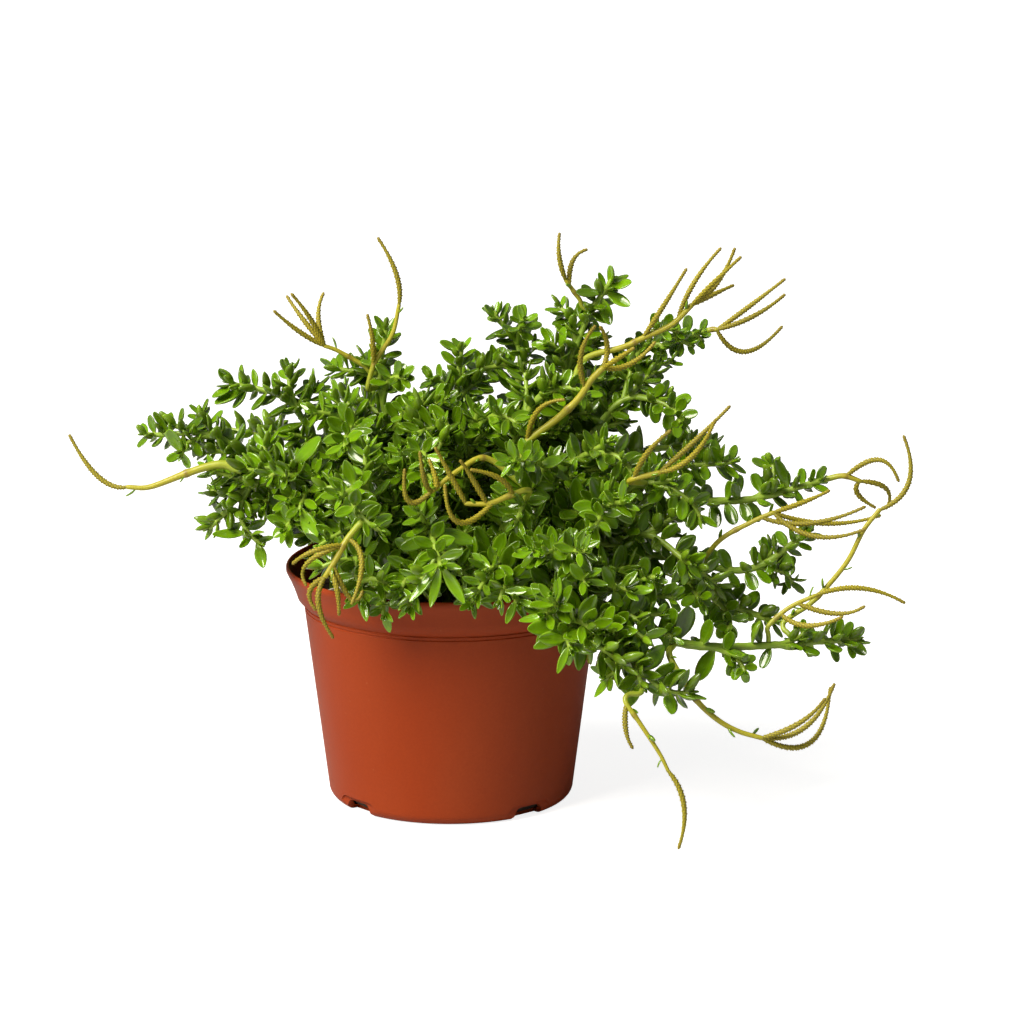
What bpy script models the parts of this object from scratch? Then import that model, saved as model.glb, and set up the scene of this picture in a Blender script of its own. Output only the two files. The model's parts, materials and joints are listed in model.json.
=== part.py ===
"""Potted peperomia: a nursery pot, its soil, forty leafy stems and seventeen flower sprays.

All sizes in the tables and functions are millimetres. Meshes are written in metres, with +Z up.
The origin is the centre of the pot's flat base, +X is right and -Y faces the viewer.
"""

import math
import random

import bmesh
import bpy
from mathutils import Vector
from mathutils.bvhtree import BVHTree
from mathutils.kdtree import KDTree

MM = 0.001
UP = Vector((0.0, 0.0, 1.0))

# Pot
RIM_RADIUS = 76.0
POT_HEIGHT = 110.2
BASE_RADIUS = 56.2
WALL_TAPER = 0.127
WALL = 1.7
FLOOR = 1.8
CORNER_RADIUS = 5.5
BAND_BOTTOM = 92.2
POT_SIDES = 28
NOTCH_WIDTH = 20.0
NOTCH_HEIGHT = 6.5
NOTCH_DEPTH = 7.0
NOTCH_TURN = -4.5

# Soil
SOIL_TOP = 97.0
SOIL_RELIEF = 0.8
SOIL_GAP = 0.35
ROOT_DEPTH = 16.0
COLLAR_HEIGHT = 6.0
ROOT_CIRCLE = 54.0
ROOT_SPACING = 10.0
ROOT_REACH = 0.40

# Stems and side shoots
STEM_SIDES = 4
STEM_BASE_RADIUS = 2.2
STEM_TIP_RADIUS = 1.0
SHOOT_SIDES = 3
SHOOT_BASE_RADIUS = 1.25
SHOOT_TIP_RADIUS = 0.8
SHOOT_LEAD = 14.0
SHIFT_FADE = 6
FINE_STEP = 3.0
TIP_LENGTH = 1.2
FACET_ERROR = 1.1
CLEARANCE = 1.7
RIM_ZONE = 9.0
RIM_AIR = 0.8
SOIL_AIR = 2.0

# Leaves
LEAF_YOUNG = 6.8
LEAF_GROWN = 13.0
LEAF_OLD = 20.5
OLD_FROM = 34.0
OLD_OVER = 40.0
TIP_ZONE = 8.5
PITCH_YOUNG = 38.0
PITCH_OLD = 80.0
PITCH_ZONE = 5.0
BREADTH_YOUNG = 0.40
BREADTH_OLD = 0.47
BREADTH_SPREAD = 0.04
SMALL_BREADTH = 0.8
LEAF_FLESH = 0.29
LEAF_LEAST_FLESH = 0.75
LEAF_FOLD = 0.06
LEAF_GAP = 0.3
BLADE_START = 1.2
WHORL = 3
CELL = 12.0
FIRST_WHORL = 1.6
FIRST_SPACING = 3.2
SPACING_GROWTH = 1.15
LAST_SPACING = 6.0
BARE_FOOT = 32.0
BARE_SHOOT_FOOT = 5.0
FIRST_PICK = 5.0
PICK_GROWTH = 1.4
LAST_PICK = 8.5

# Flower sprays
STALK_SIDES = 4
SPIKE_SIDES = 3
SPIKE_RADIUS = 1.05
SPIKE_TIP_RADIUS = 0.65
SPRAY_SEAT = 0.4
STALK_REACH = 8.0
STALK_LEAD = 2.5
FLOOR_CLEARANCE = 9.0

# Each leafy stem: name, leaf size factor, points on its way, tip, tips of its side shoots
STEMS = [
    ("far_left", 0.75, [(-98, -15, 168)], (-139, -15, 174), [(-114, -8, 183), (-122, -24, 166)]),
    ("left_high", 0.85, [(-69, 0, 180)], (-101, 5, 194), [(-73, 6, 200), (-61, 8, 192)]),
    ("left_low", 0.95, [(-81, -30, 154)], (-109, -30, 134), [(-108, -25, 150), (-86, -40, 129)]),
    ("left_flowering", 0.9, [(-62, -32, 158)], (-92, -37, 162), [(-67, -50, 147)]),
    ("upleft_tall", 0.8, [(-31, 0, 187)], (-29, 0, 220), [(-21, -14, 200), (-40, 8, 204)]),
    ("upleft_mid", 1.0, [], (-52, -12, 190), [(-47, -42, 174)]),
    ("middle_left", 1.0, [], (-22, -50, 174), [(-8, -34, 178)]),
    ("front_left", 1.0, [(-36, -50, 155)], (-48, -72, 158), [(-30, -84, 145)]),
    ("front_left_low", 1.05, [(-40, -62, 128)], (-38, -82, 113), [(-57, -66, 124)]),
    ("front_middle", 1.05, [(-8, -66, 140)], (-3, -91, 131), [(-13, -76, 152)]),
    ("front_middle_low", 1.1, [(22, -70, 128)], (31, -93, 115), [(16, -88, 128)]),
    ("middle_star", 1.0, [], (47, -60, 171), [(30, -80, 148)]),
    ("top_star", 0.8, [], (5, 15, 208), [(-9, 4, 196)]),
    ("top_mid", 0.8, [(32, 20, 196)], (20, 25, 223), [(39, 22, 207)]),
    ("middle_top", 1.0, [], (13, -20, 186), [(30, -36, 184)]),
    ("top_high", 0.8, [(58, 10, 210)], (74, 10, 241), [(50, 16, 227), (44, 4, 213)]),
    ("top_right", 0.62, [(84, 20, 200)], (117, 25, 214), [(94, 14, 197)]),
    ("top_cross", 0.9, [], (47, -15, 200), [(62, -25, 194)]),
    ("ridge", 0.8, [(72, 0, 180)], (100, 0, 188), [(105, -18, 180)]),
    ("middle_right", 1.0, [], (72, -48, 178), [(82, -58, 165)]),
    ("lower_right", 1.05, [(56, -54, 146)], (78, -75, 156), [(64, -84, 146)]),
    ("outer_right", 0.9, [(76, -38, 150)], (100, -48, 160), [(113, -55, 144)]),
    ("front_star", 1.05, [(46, -76, 134)], (61, -101, 126), [(43, -95, 138)]),
    ("right_upper", 0.85, [(92, -2, 150)], (130, -5, 159), [(113, 4, 165)]),
    ("right_long", 0.72, [(90, -10, 138), (138, -8, 142)], (170, -5, 150), [(148, 2, 157)]),
    ("right_fork", 0.75, [(92, -36, 122), (134, -42, 117)], (163, -35, 133),
     [(146, -28, 124), (156, -31, 108)]),
    ("right_under", 0.95, [(84, -46, 134)], (108, -62, 125), [(121, -48, 111)]),
    ("right_trailing", 0.75, [(70, -52, 118), (103, -80, 93)], (185, -52, 87),
     [(160, -62, 93), (132, -84, 81)]),
    ("right_inner", 0.8, [(86, -30, 118), (118, -38, 104)], (148, -40, 92), [(126, -54, 92)]),
    ("rim_hanging", 1.2, [(56, -66, 120), (76, -92, 100)], (86, -105, 80),
     [(70, -106, 84), (106, -105, 77)]),
    ("rim_low", 1.3, [(42, -66, 121)], (54, -106, 98), [(66, -98, 104)]),
    ("back_left", 0.95, [(-66, 26, 158)], (-104, 42, 164), [(-82, 56, 160)]),
    ("back_left_low", 1.05, [(-62, 50, 134)], (-92, 70, 122), [(-96, 48, 134)]),
    ("back_hill_left", 0.95, [], (-54, 66, 178), [(-32, 52, 186)]),
    ("back_low_left", 1.1, [(-30, 72, 134)], (-36, 104, 118), [(-58, 88, 134)]),
    ("back_hill", 0.95, [], (6, 72, 184), [(24, 54, 196)]),
    ("back_low_right", 1.1, [(26, 74, 134)], (34, 108, 116), [(8, 96, 130)]),
    ("back_hill_right", 0.95, [], (62, 62, 184), [(84, 44, 182)]),
    ("back_right", 0.95, [(84, 42, 150)], (124, 52, 152), [(104, 70, 150)]),
    ("back_right_low", 1.05, [(66, 60, 128)], (100, 86, 112), [(80, 96, 128)]),
]

# Each flower spray: name, stem that carries it, stalk radius at its foot and end, stalk, spikes
SPRAYS = [
    ("far_left", "left_flowering", 2.3, 1.1,
     [(-104, -37, 165), (-118, -38, 161), (-135, -40, 155), (-145, -40, 155)],
     [[(-145, -40, 155), (-158, -38, 159), (-171, -34, 177)]]),
    ("upper_left", "upleft_tall", 1.2, 1.0,
     [(-36, -2, 200), (-50, -4, 210), (-57, -5, 213)],
     [[(-57, -5, 213), (-68, -8, 220), (-79, -12, 230)],
      [(-57, -5, 213), (-67, -2, 225), (-74, 3, 234)],
      [(-57, -5, 213), (-63, -9, 226), (-71, -13, 238)],
      [(-57, -5, 213), (-60, 1, 225), (-58, 5, 235)]]),
    ("tall_left", "upleft_tall", 1.4, 1.0,
     [(-38, -6, 193), (-34, -7, 206), (-26, -7, 219), (-23, -6, 232)],
     [[(-23, -6, 232), (-24, -6, 246), (-32, -4, 262)],
      [(-35, -7, 203), (-35, -11, 217), (-37, -12, 228)]]),
    ("top", "top_high", 1.1, 1.0,
     [(60, 8, 227), (53, 8, 241)],
     [[(53, 8, 241), (50, 6, 252), (50, 8, 262)],
      [(54, 8, 239), (56, 12, 249), (62, 14, 254)]]),
    ("middle_thick", "middle_star", 2.0, 1.5,
     [(33, -44, 174), (49, -46, 188), (58, -47, 197), (64, -47, 206), (69, -47, 211)],
     [[(62, -47, 203), (59, -50, 217), (65, -54, 231)],
      [(69, -47, 211), (71, -44, 220), (68, -50, 230)],
      [(69, -47, 211), (76, -53, 217), (82, -58, 222)],
      [(69, -47, 211), (81, -43, 212), (92, -40, 221)],
      [(36, -45, 177), (40, -49, 192), (51, -54, 198)]]),
    ("top_comb", "top_cross", 1.6, 1.3,
     [(62, -9, 208), (79, -8, 213), (88, -7, 217), (101, -6, 223), (110, -6, 232)],
     [[(88, -7, 217), (97, -9, 232), (107, -11, 249)],
      [(103, -6, 225), (111, -1, 241), (123, 4, 256)],
      [(110, -6, 232), (121, -8, 242), (129, -9, 258)],
      [(110, -6, 232), (120, -13, 244), (131, -19, 256)],
      [(110, -6, 232), (120, -1, 236), (129, 5, 239)]]),
    ("right_fan", "top_right", 1.3, 1.1,
     [(118, 24, 213), (123, 24, 215)],
     [[(123, 24, 215), (135, 27, 223), (154, 31, 237)],
      [(123, 24, 215), (139, 19, 222), (153, 13, 233)],
      [(123, 24, 215), (136, 27, 204), (153, 29, 215)]]),
    ("outer_pair", "outer_right", 1.5, 1.3,
     [(81, -62, 163), (94, -64, 167)],
     [[(83, -62, 164), (88, -67, 176), (98, -70, 187)],
      [(94, -64, 167), (108, -68, 175), (118, -72, 192)],
      [(94, -64, 167), (109, -61, 180), (125, -56, 195)]]),
    ("middle_low", "middle_star", 1.6, 1.1,
     [(36, -78, 163), (27, -80, 160), (18, -82, 157), (8, -82, 157)],
     [[(16, -82, 157), (10, -87, 171), (6, -91, 178)],
      [(28, -80, 160), (23, -85, 169), (11, -90, 174)],
      [(8, -82, 157), (1, -85, 171), (-5, -88, 183)],
      [(19, -82, 157), (5, -93, 151), (-1, -96, 168)]]),
    ("front_middle", "middle_star", 1.6, 1.1,
     [(17, -66, 174), (5, -72, 170), (-7, -79, 162)],
     [[(-7, -79, 162), (-10, -86, 168), (-12, -88, 181)],
      [(-7, -79, 162), (-5, -78, 165), (-8, -76, 175)],
      [(-7, -79, 162), (-17, -83, 158), (-19, -83, 172)]]),
    ("front_left_tassel", "front_left", 1.6, 1.3,
     [(-45, -86, 141), (-49, -89, 134), (-54, -91, 126)],
     [[(-47, -87, 138), (-59, -93, 138), (-68, -90, 132)],
      [(-47, -87, 138), (-62, -86, 131), (-63, -88, 122)],
      [(-54, -91, 126), (-61, -89, 119), (-59, -89, 111)],
      [(-54, -91, 126), (-57, -96, 115), (-51, -96, 100)],
      [(-52, -90, 130), (-49, -94, 122), (-48, -94, 110)],
      [(-51, -90, 131), (-43, -91, 116), (-38, -88, 118)],
      [(-45, -86, 141), (-38, -91, 133), (-42, -98, 116)]]),
    ("right_middle", "right_inner", 1.3, 1.1,
     [(121, -47, 131), (137, -48, 141), (146, -48, 145)],
     [[(146, -48, 145), (160, -44, 149), (171, -40, 153)],
      [(140, -48, 143), (162, -52, 141), (186, -55, 149)],
      [(146, -48, 145), (170, -44, 139), (194, -42, 142)],
      [(146, -48, 145), (164, -56, 136), (186, -60, 140)]]),
    ("right_tip", "right_long", 1.5, 1.2,
     [(172, -5, 151), (181, -6, 153), (188, -6, 150)],
     [[(181, -6, 153), (196, -10, 161), (205, -12, 152)],
      [(188, -6, 150), (187, -4, 144), (195, -2, 137)],
      [(188, -6, 150), (200, -2, 146), (202, 2, 137)]]),
    ("right_sweep", "right_trailing", 1.3, 1.1,
     [(150, -56, 96), (161, -58, 104), (169, -58, 112), (179, -58, 125), (186, -57, 139), (193, -56, 148)],
     [[(193, -56, 148), (206, -54, 160), (204, -50, 180)]]),
    ("right_low", "right_trailing", 1.2, 1.0,
     [(143, -68, 98), (153, -67, 106), (164, -66, 111)],
     [[(164, -66, 111), (184, -64, 114), (204, -62, 107)],
      [(157, -67, 107), (173, -71, 104), (185, -75, 108)],
      [(148, -68, 102), (160, -73, 99), (175, -78, 104)]]),
    ("right_hanging", "right_trailing", 1.6, 1.1,
     [(98, -92, 90), (105, -96, 79), (111, -97, 70), (120, -98, 62), (129, -98, 57), (139, -98, 54)],
     [[(139, -98, 54), (158, -96, 58), (171, -94, 77)],
      [(139, -98, 54), (155, -103, 62), (166, -107, 74)],
      [(139, -98, 54), (161, -92, 50), (170, -86, 73)]]),
    ("rim_drooping", "rim_hanging", 1.3, 0.9,
     [(77, -112, 76), (83, -115, 68), (93, -118, 53), (97, -119, 45)],
     [[(97, -119, 45), (104, -121, 30), (102, -122, 11)],
      [(79, -113, 73), (78, -117, 64), (81, -119, 56)]]),
]


class Strand:
    """A round length of stem, side shoot, stalk or spike, as a row of points with a radius each."""

    def __init__(self, node, kind, points, foot_radius, tip_radius, parent=None, held=1):
        self.node = node
        self.kind = kind
        self.points = points
        last = len(points) - 1
        self.radii = [foot_radius + (tip_radius - foot_radius) * i / last for i in range(last + 1)]
        self.parent = parent
        self.joint = 0
        self.held = held
        self.seats = set()
        self.leaf_factor = 1.0
        self.length = sum((b - a).length for a, b in zip(points, points[1:]))

    def radius_at(self, distance_from_tip):
        share = min(1.0, max(0.0, distance_from_tip / self.length))
        return self.radii[-1] + (self.radii[0] - self.radii[-1]) * share

    def place(self, distance_from_tip):
        """The point and the direction towards the tip, a distance back from the tip."""
        left = distance_from_tip
        for index in range(len(self.points) - 1, 0, -1):
            start = self.points[index - 1]
            end = self.points[index]
            step = (end - start).length
            if left <= step:
                return end.lerp(start, left / step), (end - start).normalized()
            left -= step
        return self.points[0].copy(), (self.points[1] - self.points[0]).normalized()


def smooth_path(points, first_direction=None, step=FINE_STEP):
    """Points at even steps along a smooth curve through the given points."""
    knots = [Vector(point) for point in points]
    tangents = []
    for index, knot in enumerate(knots):
        before = knots[max(index - 1, 0)]
        after = knots[min(index + 1, len(knots) - 1)]
        tangents.append((after - before) / (2.0 if 0 < index < len(knots) - 1 else 1.0))
    if first_direction is not None:
        tangents[0] = first_direction * (knots[1] - knots[0]).length
    dense = [knots[0]]
    parts = 24
    for index in range(len(knots) - 1):
        start, end = knots[index], knots[index + 1]
        for part in range(1, parts + 1):
            t = part / parts
            dense.append(
                start * (2 * t**3 - 3 * t**2 + 1)
                + tangents[index] * (t**3 - 2 * t**2 + t)
                + end * (3 * t**2 - 2 * t**3)
                + tangents[index + 1] * (t**3 - t**2)
            )
    return even_steps(dense, step)


def even_steps(points, step):
    """The same line, with its points at even distances of about one step."""
    lengths = [0.0]
    for start, end in zip(points, points[1:]):
        lengths.append(lengths[-1] + (end - start).length)
    count = max(2, round(lengths[-1] / step))
    result = []
    index = 0
    for number in range(count + 1):
        target = lengths[-1] * number / count
        while index < len(points) - 2 and lengths[index + 1] < target:
            index += 1
        share = (target - lengths[index]) / max(lengths[index + 1] - lengths[index], 1e-9)
        result.append(points[index].lerp(points[index + 1], share))
    return result


def bow(start, middle, end, step=FINE_STEP):
    """A bowed line from start to end that passes through the middle point."""
    pull = middle * 2.0 - (start + end) * 0.5
    dense = []
    parts = 16
    for part in range(parts + 1):
        t = part / parts
        dense.append(start * (1 - t) ** 2 + pull * 2 * t * (1 - t) + end * t**2)
    return even_steps(dense, step)


def spread_roots(tips):
    """Roots part of the way out towards the tips, moved apart until they stand clear."""
    roots = [Vector((tip[0], tip[1])) * ROOT_REACH for tip in tips]
    for _ in range(200):
        for i, first in enumerate(roots):
            for second in roots[:i]:
                apart = first - second
                gap = ROOT_SPACING - apart.length
                if gap > 0:
                    push = apart.normalized() * gap * 0.5 if apart.length > 1e-6 else Vector((gap, 0.0))
                    first += push
                    second -= push
        for root in roots:
            if root.length > ROOT_CIRCLE:
                root *= ROOT_CIRCLE / root.length
    return roots


def nearest_point(strand, place):
    """The index of the strand's point that lies nearest to a place."""
    return min(range(len(strand.points)), key=lambda i: (strand.points[i] - place).length_squared)


def stem_strands():
    """The main strand of each leafy stem, with its side shoots."""
    strands = []
    roots = spread_roots([row[3] for row in STEMS])
    for (name, factor, way, tip, shoot_tips), root in zip(STEMS, roots):
        node = "stem_" + name
        tip = Vector(tip)
        foot = Vector((root.x, root.y, SOIL_TOP - ROOT_DEPTH))
        collar = Vector((root.x, root.y, SOIL_TOP + COLLAR_HEIGHT))
        if not way:
            middle = root.lerp(tip.xy, 0.42)
            way = [(middle.x, middle.y, SOIL_TOP + 0.72 * (tip.z - SOIL_TOP))]
        buried = even_steps([foot, collar], FINE_STEP)
        points = buried + smooth_path([collar, *way, tip], UP)[1:]
        main = Strand(node, "stem", points, STEM_BASE_RADIUS, STEM_TIP_RADIUS, held=len(buried))
        main.leaf_factor = factor
        strands.append(main)
        for shoot_tip in shoot_tips:
            strands.append(side_shoot(main, Vector(shoot_tip), len(buried)))
    return strands


def side_shoot(main, tip, first):
    """A side shoot that leaves the main stem at a narrow angle, some way short of its own tip."""
    nearest = nearest_point(main, tip)
    reach = (main.points[nearest] - tip).length
    back = round(max(SHOOT_LEAD, 0.6 * reach) / FINE_STEP)
    joint = max(first + 4, nearest - back)
    start = main.points[joint]
    heading = (main.points[joint + 1] - start).normalized()
    middle = start + heading * (tip - start).length * 0.28 + (tip - start) * 0.36
    shoot = Strand(
        main.node, "shoot", bow(start, middle, tip), SHOOT_BASE_RADIUS, SHOOT_TIP_RADIUS, parent=main
    )
    shoot.joint = joint
    shoot.leaf_factor = main.leaf_factor * 0.92
    return shoot


def spray_strands(stems):
    """The stalk of each flower spray with its spikes, each spray beside the stem that carries it."""
    strands = []
    for name, carrier, foot_radius, end_radius, route, spikes in SPRAYS:
        node = "spray_" + name
        first = Vector(route[0])
        carriers = [strand for strand in stems if strand.node == "stem_" + carrier]
        parent = min(carriers, key=lambda s: (s.points[nearest_point(s, first)] - first).length)
        joint = nearest_point(parent, first)
        if joint == len(parent.points) - 2:
            joint += 1
        foot = parent.points[joint]
        away = first - foot
        rest = route if away.length > STALK_REACH else route[1:]
        points = smooth_path([foot + away.normalized() * FINE_STEP, *rest])
        stalk = Strand(node, "stalk", points, foot_radius, end_radius, parent=parent)
        stalk.joint = joint
        parent.seats.add(joint)
        strands.append(stalk)
        for start, middle, end in spikes:
            knot = nearest_point(stalk, Vector(start))
            line = bow(stalk.points[knot], Vector(middle), Vector(end))
            spike = Strand(node, "spike", line, SPIKE_RADIUS, SPIKE_TIP_RADIUS, parent=stalk)
            spike.joint = knot
            strands.append(spike)
    return strands


def seat_on_parents(strands):
    """Move each strand's foot to its joint, with the shift fading out along the strand."""
    for strand in strands:
        parent = strand.parent
        if parent is None:
            continue
        seat = parent.points[strand.joint]
        away = None
        if strand.kind == "stalk":
            away, reach = stalk_seat(strand, parent)
            seat = seat + away * reach
        shift = seat - strand.points[0]
        fade = min(SHIFT_FADE, len(strand.points) - 1)
        for index in range(fade):
            strand.points[index] += shift * (1.0 - index / fade)
        if away is not None:
            strand.points[1] = (seat + away * STALK_LEAD).lerp(strand.points[2], 0.25)


def stalk_seat(stalk, parent):
    """The direction in which a stalk leaves its stem, square to it or past its tip, and how far out."""
    joint = stalk.joint
    last = len(parent.points) - 1
    along = (parent.points[min(joint + 1, last)] - parent.points[max(joint - 1, 0)]).normalized()
    ahead = stalk.points[2] - parent.points[joint]
    if joint == last:
        away = (along + ahead.normalized() * 0.6).normalized()
        return away, TIP_LENGTH + SPRAY_SEAT
    away = ahead - along * ahead.dot(along)
    return away.normalized(), parent.radii[joint] + SPRAY_SEAT


def clear_of_pot(point, radius):
    """Lift a point over the pot's rim or move it out past the rim."""
    out = Vector((point.x, point.y, 0.0))
    room = radius + CLEARANCE
    if point.z < FLOOR_CLEARANCE + radius:
        point.z = FLOOR_CLEARANCE + radius
    over = POT_HEIGHT + room - point.z
    past = RIM_RADIUS + room - out.length
    inside = out.length - (RIM_RADIUS - RIM_ZONE - room)
    if over > 0 and past > 0 and inside > 0:
        if past < over:
            point += out.normalized() * past
        elif over < RIM_ZONE or inside > over:
            point.z += over
        else:
            point -= out.normalized() * inside


def ease_apart(strands, rounds=90):
    """Bend the strands of different nodes clear of each other, with roots and joints held."""
    rows = [(strand, index) for strand in strands for index in range(len(strand.points))]
    reach = 2 * STEM_BASE_RADIUS + CLEARANCE + 0.6
    for _ in range(rounds):
        tree = KDTree(len(rows))
        for number, (strand, index) in enumerate(rows):
            tree.insert(strand.points[index], number)
        tree.balance()
        moves = {id(strand): [Vector() for _ in strand.points] for strand in strands}
        for number, (strand, index) in enumerate(rows):
            if index < strand.held:
                continue
            point = strand.points[index]
            for other_point, other_number, distance in tree.find_range(point, reach):
                other, other_index = rows[other_number]
                if other.node == strand.node or share_joint(strand, index, other, other_index):
                    continue
                need = strand.radii[index] + other.radii[other_index] + CLEARANCE
                if 1e-6 < distance < need:
                    move = (point - other_point) * ((need - distance) / distance)
                    moves[id(strand)][index] += move
        for strand in strands:
            own = moves[id(strand)]
            for _ in range(2):
                padded = [own[0], *own, own[-1]]
                own = [(padded[i] + padded[i + 1] * 2 + padded[i + 2]) / 4 for i in range(len(own))]
            for index in range(strand.held, len(strand.points)):
                strand.points[index] += own[index]
                clear_of_pot(strand.points[index], strand.radii[index])
        seat_on_parents(strands)


def share_joint(strand, index, other, other_index):
    """Whether two points lie on either side of the seat of a spray's stalk on its stem."""
    near = 2
    return (strand.parent is other and index < near) or (other.parent is strand and other_index < near)


def corner_points(points, first, last, kept):
    """Keep the points that a faceted line needs to stay within the facet error of the curve."""
    start, end = points[first], points[last]
    along = (end - start).normalized()
    furthest, error = first, 0.0
    for index in range(first + 1, last):
        off = points[index] - start
        distance = (off - along * off.dot(along)).length
        if distance > error:
            furthest, error = index, distance
    if error > FACET_ERROR:
        corner_points(points, first, furthest, kept)
        kept.add(furthest)
        corner_points(points, furthest, last, kept)


def coarse_points(strand):
    """The strand's points thinned out for its solid, with their radii; the seats of sprays stay."""
    last = len(strand.points) - 1
    stops = sorted({0, strand.held - 1, last, *strand.seats})
    kept = set(stops)
    for first, second in zip(stops, stops[1:]):
        corner_points(strand.points, first, second, kept)
    picks = sorted(kept)
    return [strand.points[i] for i in picks], [strand.radii[i] for i in picks]


def tube(points, radii, sides):
    """Vertices and faces of a closed tube with a flat foot and a pointed tip."""
    verts = []
    faces = []
    direction = (points[1] - points[0]).normalized()
    side = direction.orthogonal().normalized()
    if abs(direction.z) > 0.99:
        side = Vector((1.0, 0.0, 0.0))
    for index, point in enumerate(points):
        before = points[max(index - 1, 0)]
        after = points[min(index + 1, len(points) - 1)]
        direction = (after - before).normalized()
        side = (side - direction * side.dot(direction)).normalized()
        other = direction.cross(side)
        for corner in range(sides):
            angle = math.tau * corner / sides
            verts.append(point + (side * math.cos(angle) + other * math.sin(angle)) * radii[index])
    for ring in range(len(points) - 1):
        for corner in range(sides):
            after = (corner + 1) % sides
            low = ring * sides
            faces.append((low + corner, low + after, low + sides + after, low + sides + corner))
    faces.append(tuple(reversed(range(sides))))
    tip = len(verts)
    verts.append(points[-1] + direction * TIP_LENGTH)
    low = (len(points) - 1) * sides
    for corner in range(sides):
        faces.append((low + corner, low + (corner + 1) % sides, tip))
    return verts, faces


class Leaf:
    """One boat-shaped leaf: where it grows, where it points and how large it is."""

    def __init__(self, strand, distance, turn, length, width, pitch, curl):
        self.strand = strand
        self.distance = distance
        self.turn = turn
        self.length = length
        self.width = width
        self.pitch = pitch
        self.curl = curl

    def frame(self):
        """The foot on the stem's axis, and the leaf's own along, side and face directions."""
        foot, axis = self.strand.place(self.distance)
        flat = UP if abs(axis.z) < 0.9 else Vector((1.0, 0.0, 0.0))
        first = (flat - axis * flat.dot(axis)).normalized()
        second = axis.cross(first)
        out = first * math.cos(self.turn) + second * math.sin(self.turn)
        along = (axis * math.cos(self.pitch) + out * math.sin(self.pitch) + UP * 0.15).normalized()
        face = axis * 0.8 + UP * 0.45 - out * 0.2
        face = (face - along * face.dot(along)).normalized()
        return foot, along, face.cross(along), face

    def solid(self, start=0.0, swell=0.0):
        """Vertices and faces of the leaf: two margins and a keel at each station along it."""
        foot, along, side, face = self.frame()
        stations = next(row for limit, row in STATIONS if self.length > limit)
        verts = [foot + along * start]
        for share, breadth in stations:
            centre = foot + along * (self.length * share) + face * (self.curl * self.length * share**2)
            half = self.width * 0.5 * breadth + swell
            rise = self.width * LEAF_FOLD * breadth + swell
            keel = max(self.width * LEAF_FLESH * breadth, LEAF_LEAST_FLESH) + swell
            verts.append(centre + side * half + face * rise)
            verts.append(centre - side * half + face * rise)
            verts.append(centre - face * keel)
        verts.append(foot + along * (self.length + swell) + face * (self.curl * self.length))
        faces = [(0, 2, 1), (0, 3, 2), (0, 1, 3)]
        for station in range(len(stations) - 1):
            low = 1 + station * 3
            for corner in range(3):
                after = (corner + 1) % 3
                faces.append((low + corner, low + after, low + 3 + after, low + 3 + corner))
        low = 1 + (len(stations) - 1) * 3
        tip = len(verts) - 1
        faces += [(low, low + 1, tip), (low + 1, low + 2, tip), (low + 2, low, tip)]
        return verts, faces


# Stations along a leaf as shares of its length and width, for leaves longer than a limit
STATIONS = [
    (18.5, [(0.22, 0.62), (0.52, 1.0), (0.82, 0.66)]),
    (14.8, [(0.34, 0.86), (0.72, 0.88)]),
    (0.0, [(0.52, 1.0)]),
]
SECOND_TRIES = [
    (0, 0, 1.0), (14, 0, 1.0), (-14, 0, 1.0), (0, 14, 1.0), (0, -14, 1.0), (24, 8, 0.9),
    (-24, 8, 0.9), (20, -14, 0.85), (-20, -14, 0.85), (0, 0, 0.78), (32, 10, 0.78), (-32, 10, 0.78),
]


def whorl_leaves(strand, seed):
    """Every leaf of a strand, in whorls of three from its tip down, each turned from the last."""
    draw = random.Random(seed)
    turn = draw.uniform(0.0, math.tau)
    bare = BARE_FOOT + ROOT_DEPTH if strand.kind == "stem" else BARE_SHOOT_FOOT
    distance = FIRST_WHORL
    spacing = FIRST_SPACING
    whorls = []
    while distance < strand.length - bare:
        grown = 1.0 - math.exp(-distance / TIP_ZONE)
        size = LEAF_YOUNG + (LEAF_GROWN - LEAF_YOUNG) * grown
        size += (LEAF_OLD - LEAF_GROWN) * min(1.0, max(0.0, distance - OLD_FROM) / OLD_OVER)
        size *= strand.leaf_factor
        pitch = PITCH_YOUNG + (PITCH_OLD - PITCH_YOUNG) * (1.0 - math.exp(-distance / PITCH_ZONE))
        breadth = BREADTH_YOUNG + (BREADTH_OLD - BREADTH_YOUNG) * grown
        breadth *= 1.0 + SMALL_BREADTH * (1.0 - strand.leaf_factor)
        whorl = []
        for member in range(WHORL):
            angle = turn + math.tau * member / WHORL + math.radians(draw.uniform(-12, 12))
            length = size * draw.uniform(0.84, 1.12)
            width = length * (breadth + draw.uniform(-BREADTH_SPREAD, BREADTH_SPREAD))
            lean = math.radians(pitch + draw.uniform(-9, 9))
            place = distance + draw.uniform(-0.4, 0.4)
            curl = draw.uniform(0.02, 0.12)
            whorl.append(Leaf(strand, place, angle, length, width, lean, curl))
        whorls.append(whorl)
        turn += math.pi / WHORL + math.radians(draw.uniform(-8, 8))
        distance += spacing
        spacing = min(spacing * SPACING_GROWTH, LAST_SPACING)
    return whorls


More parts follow.
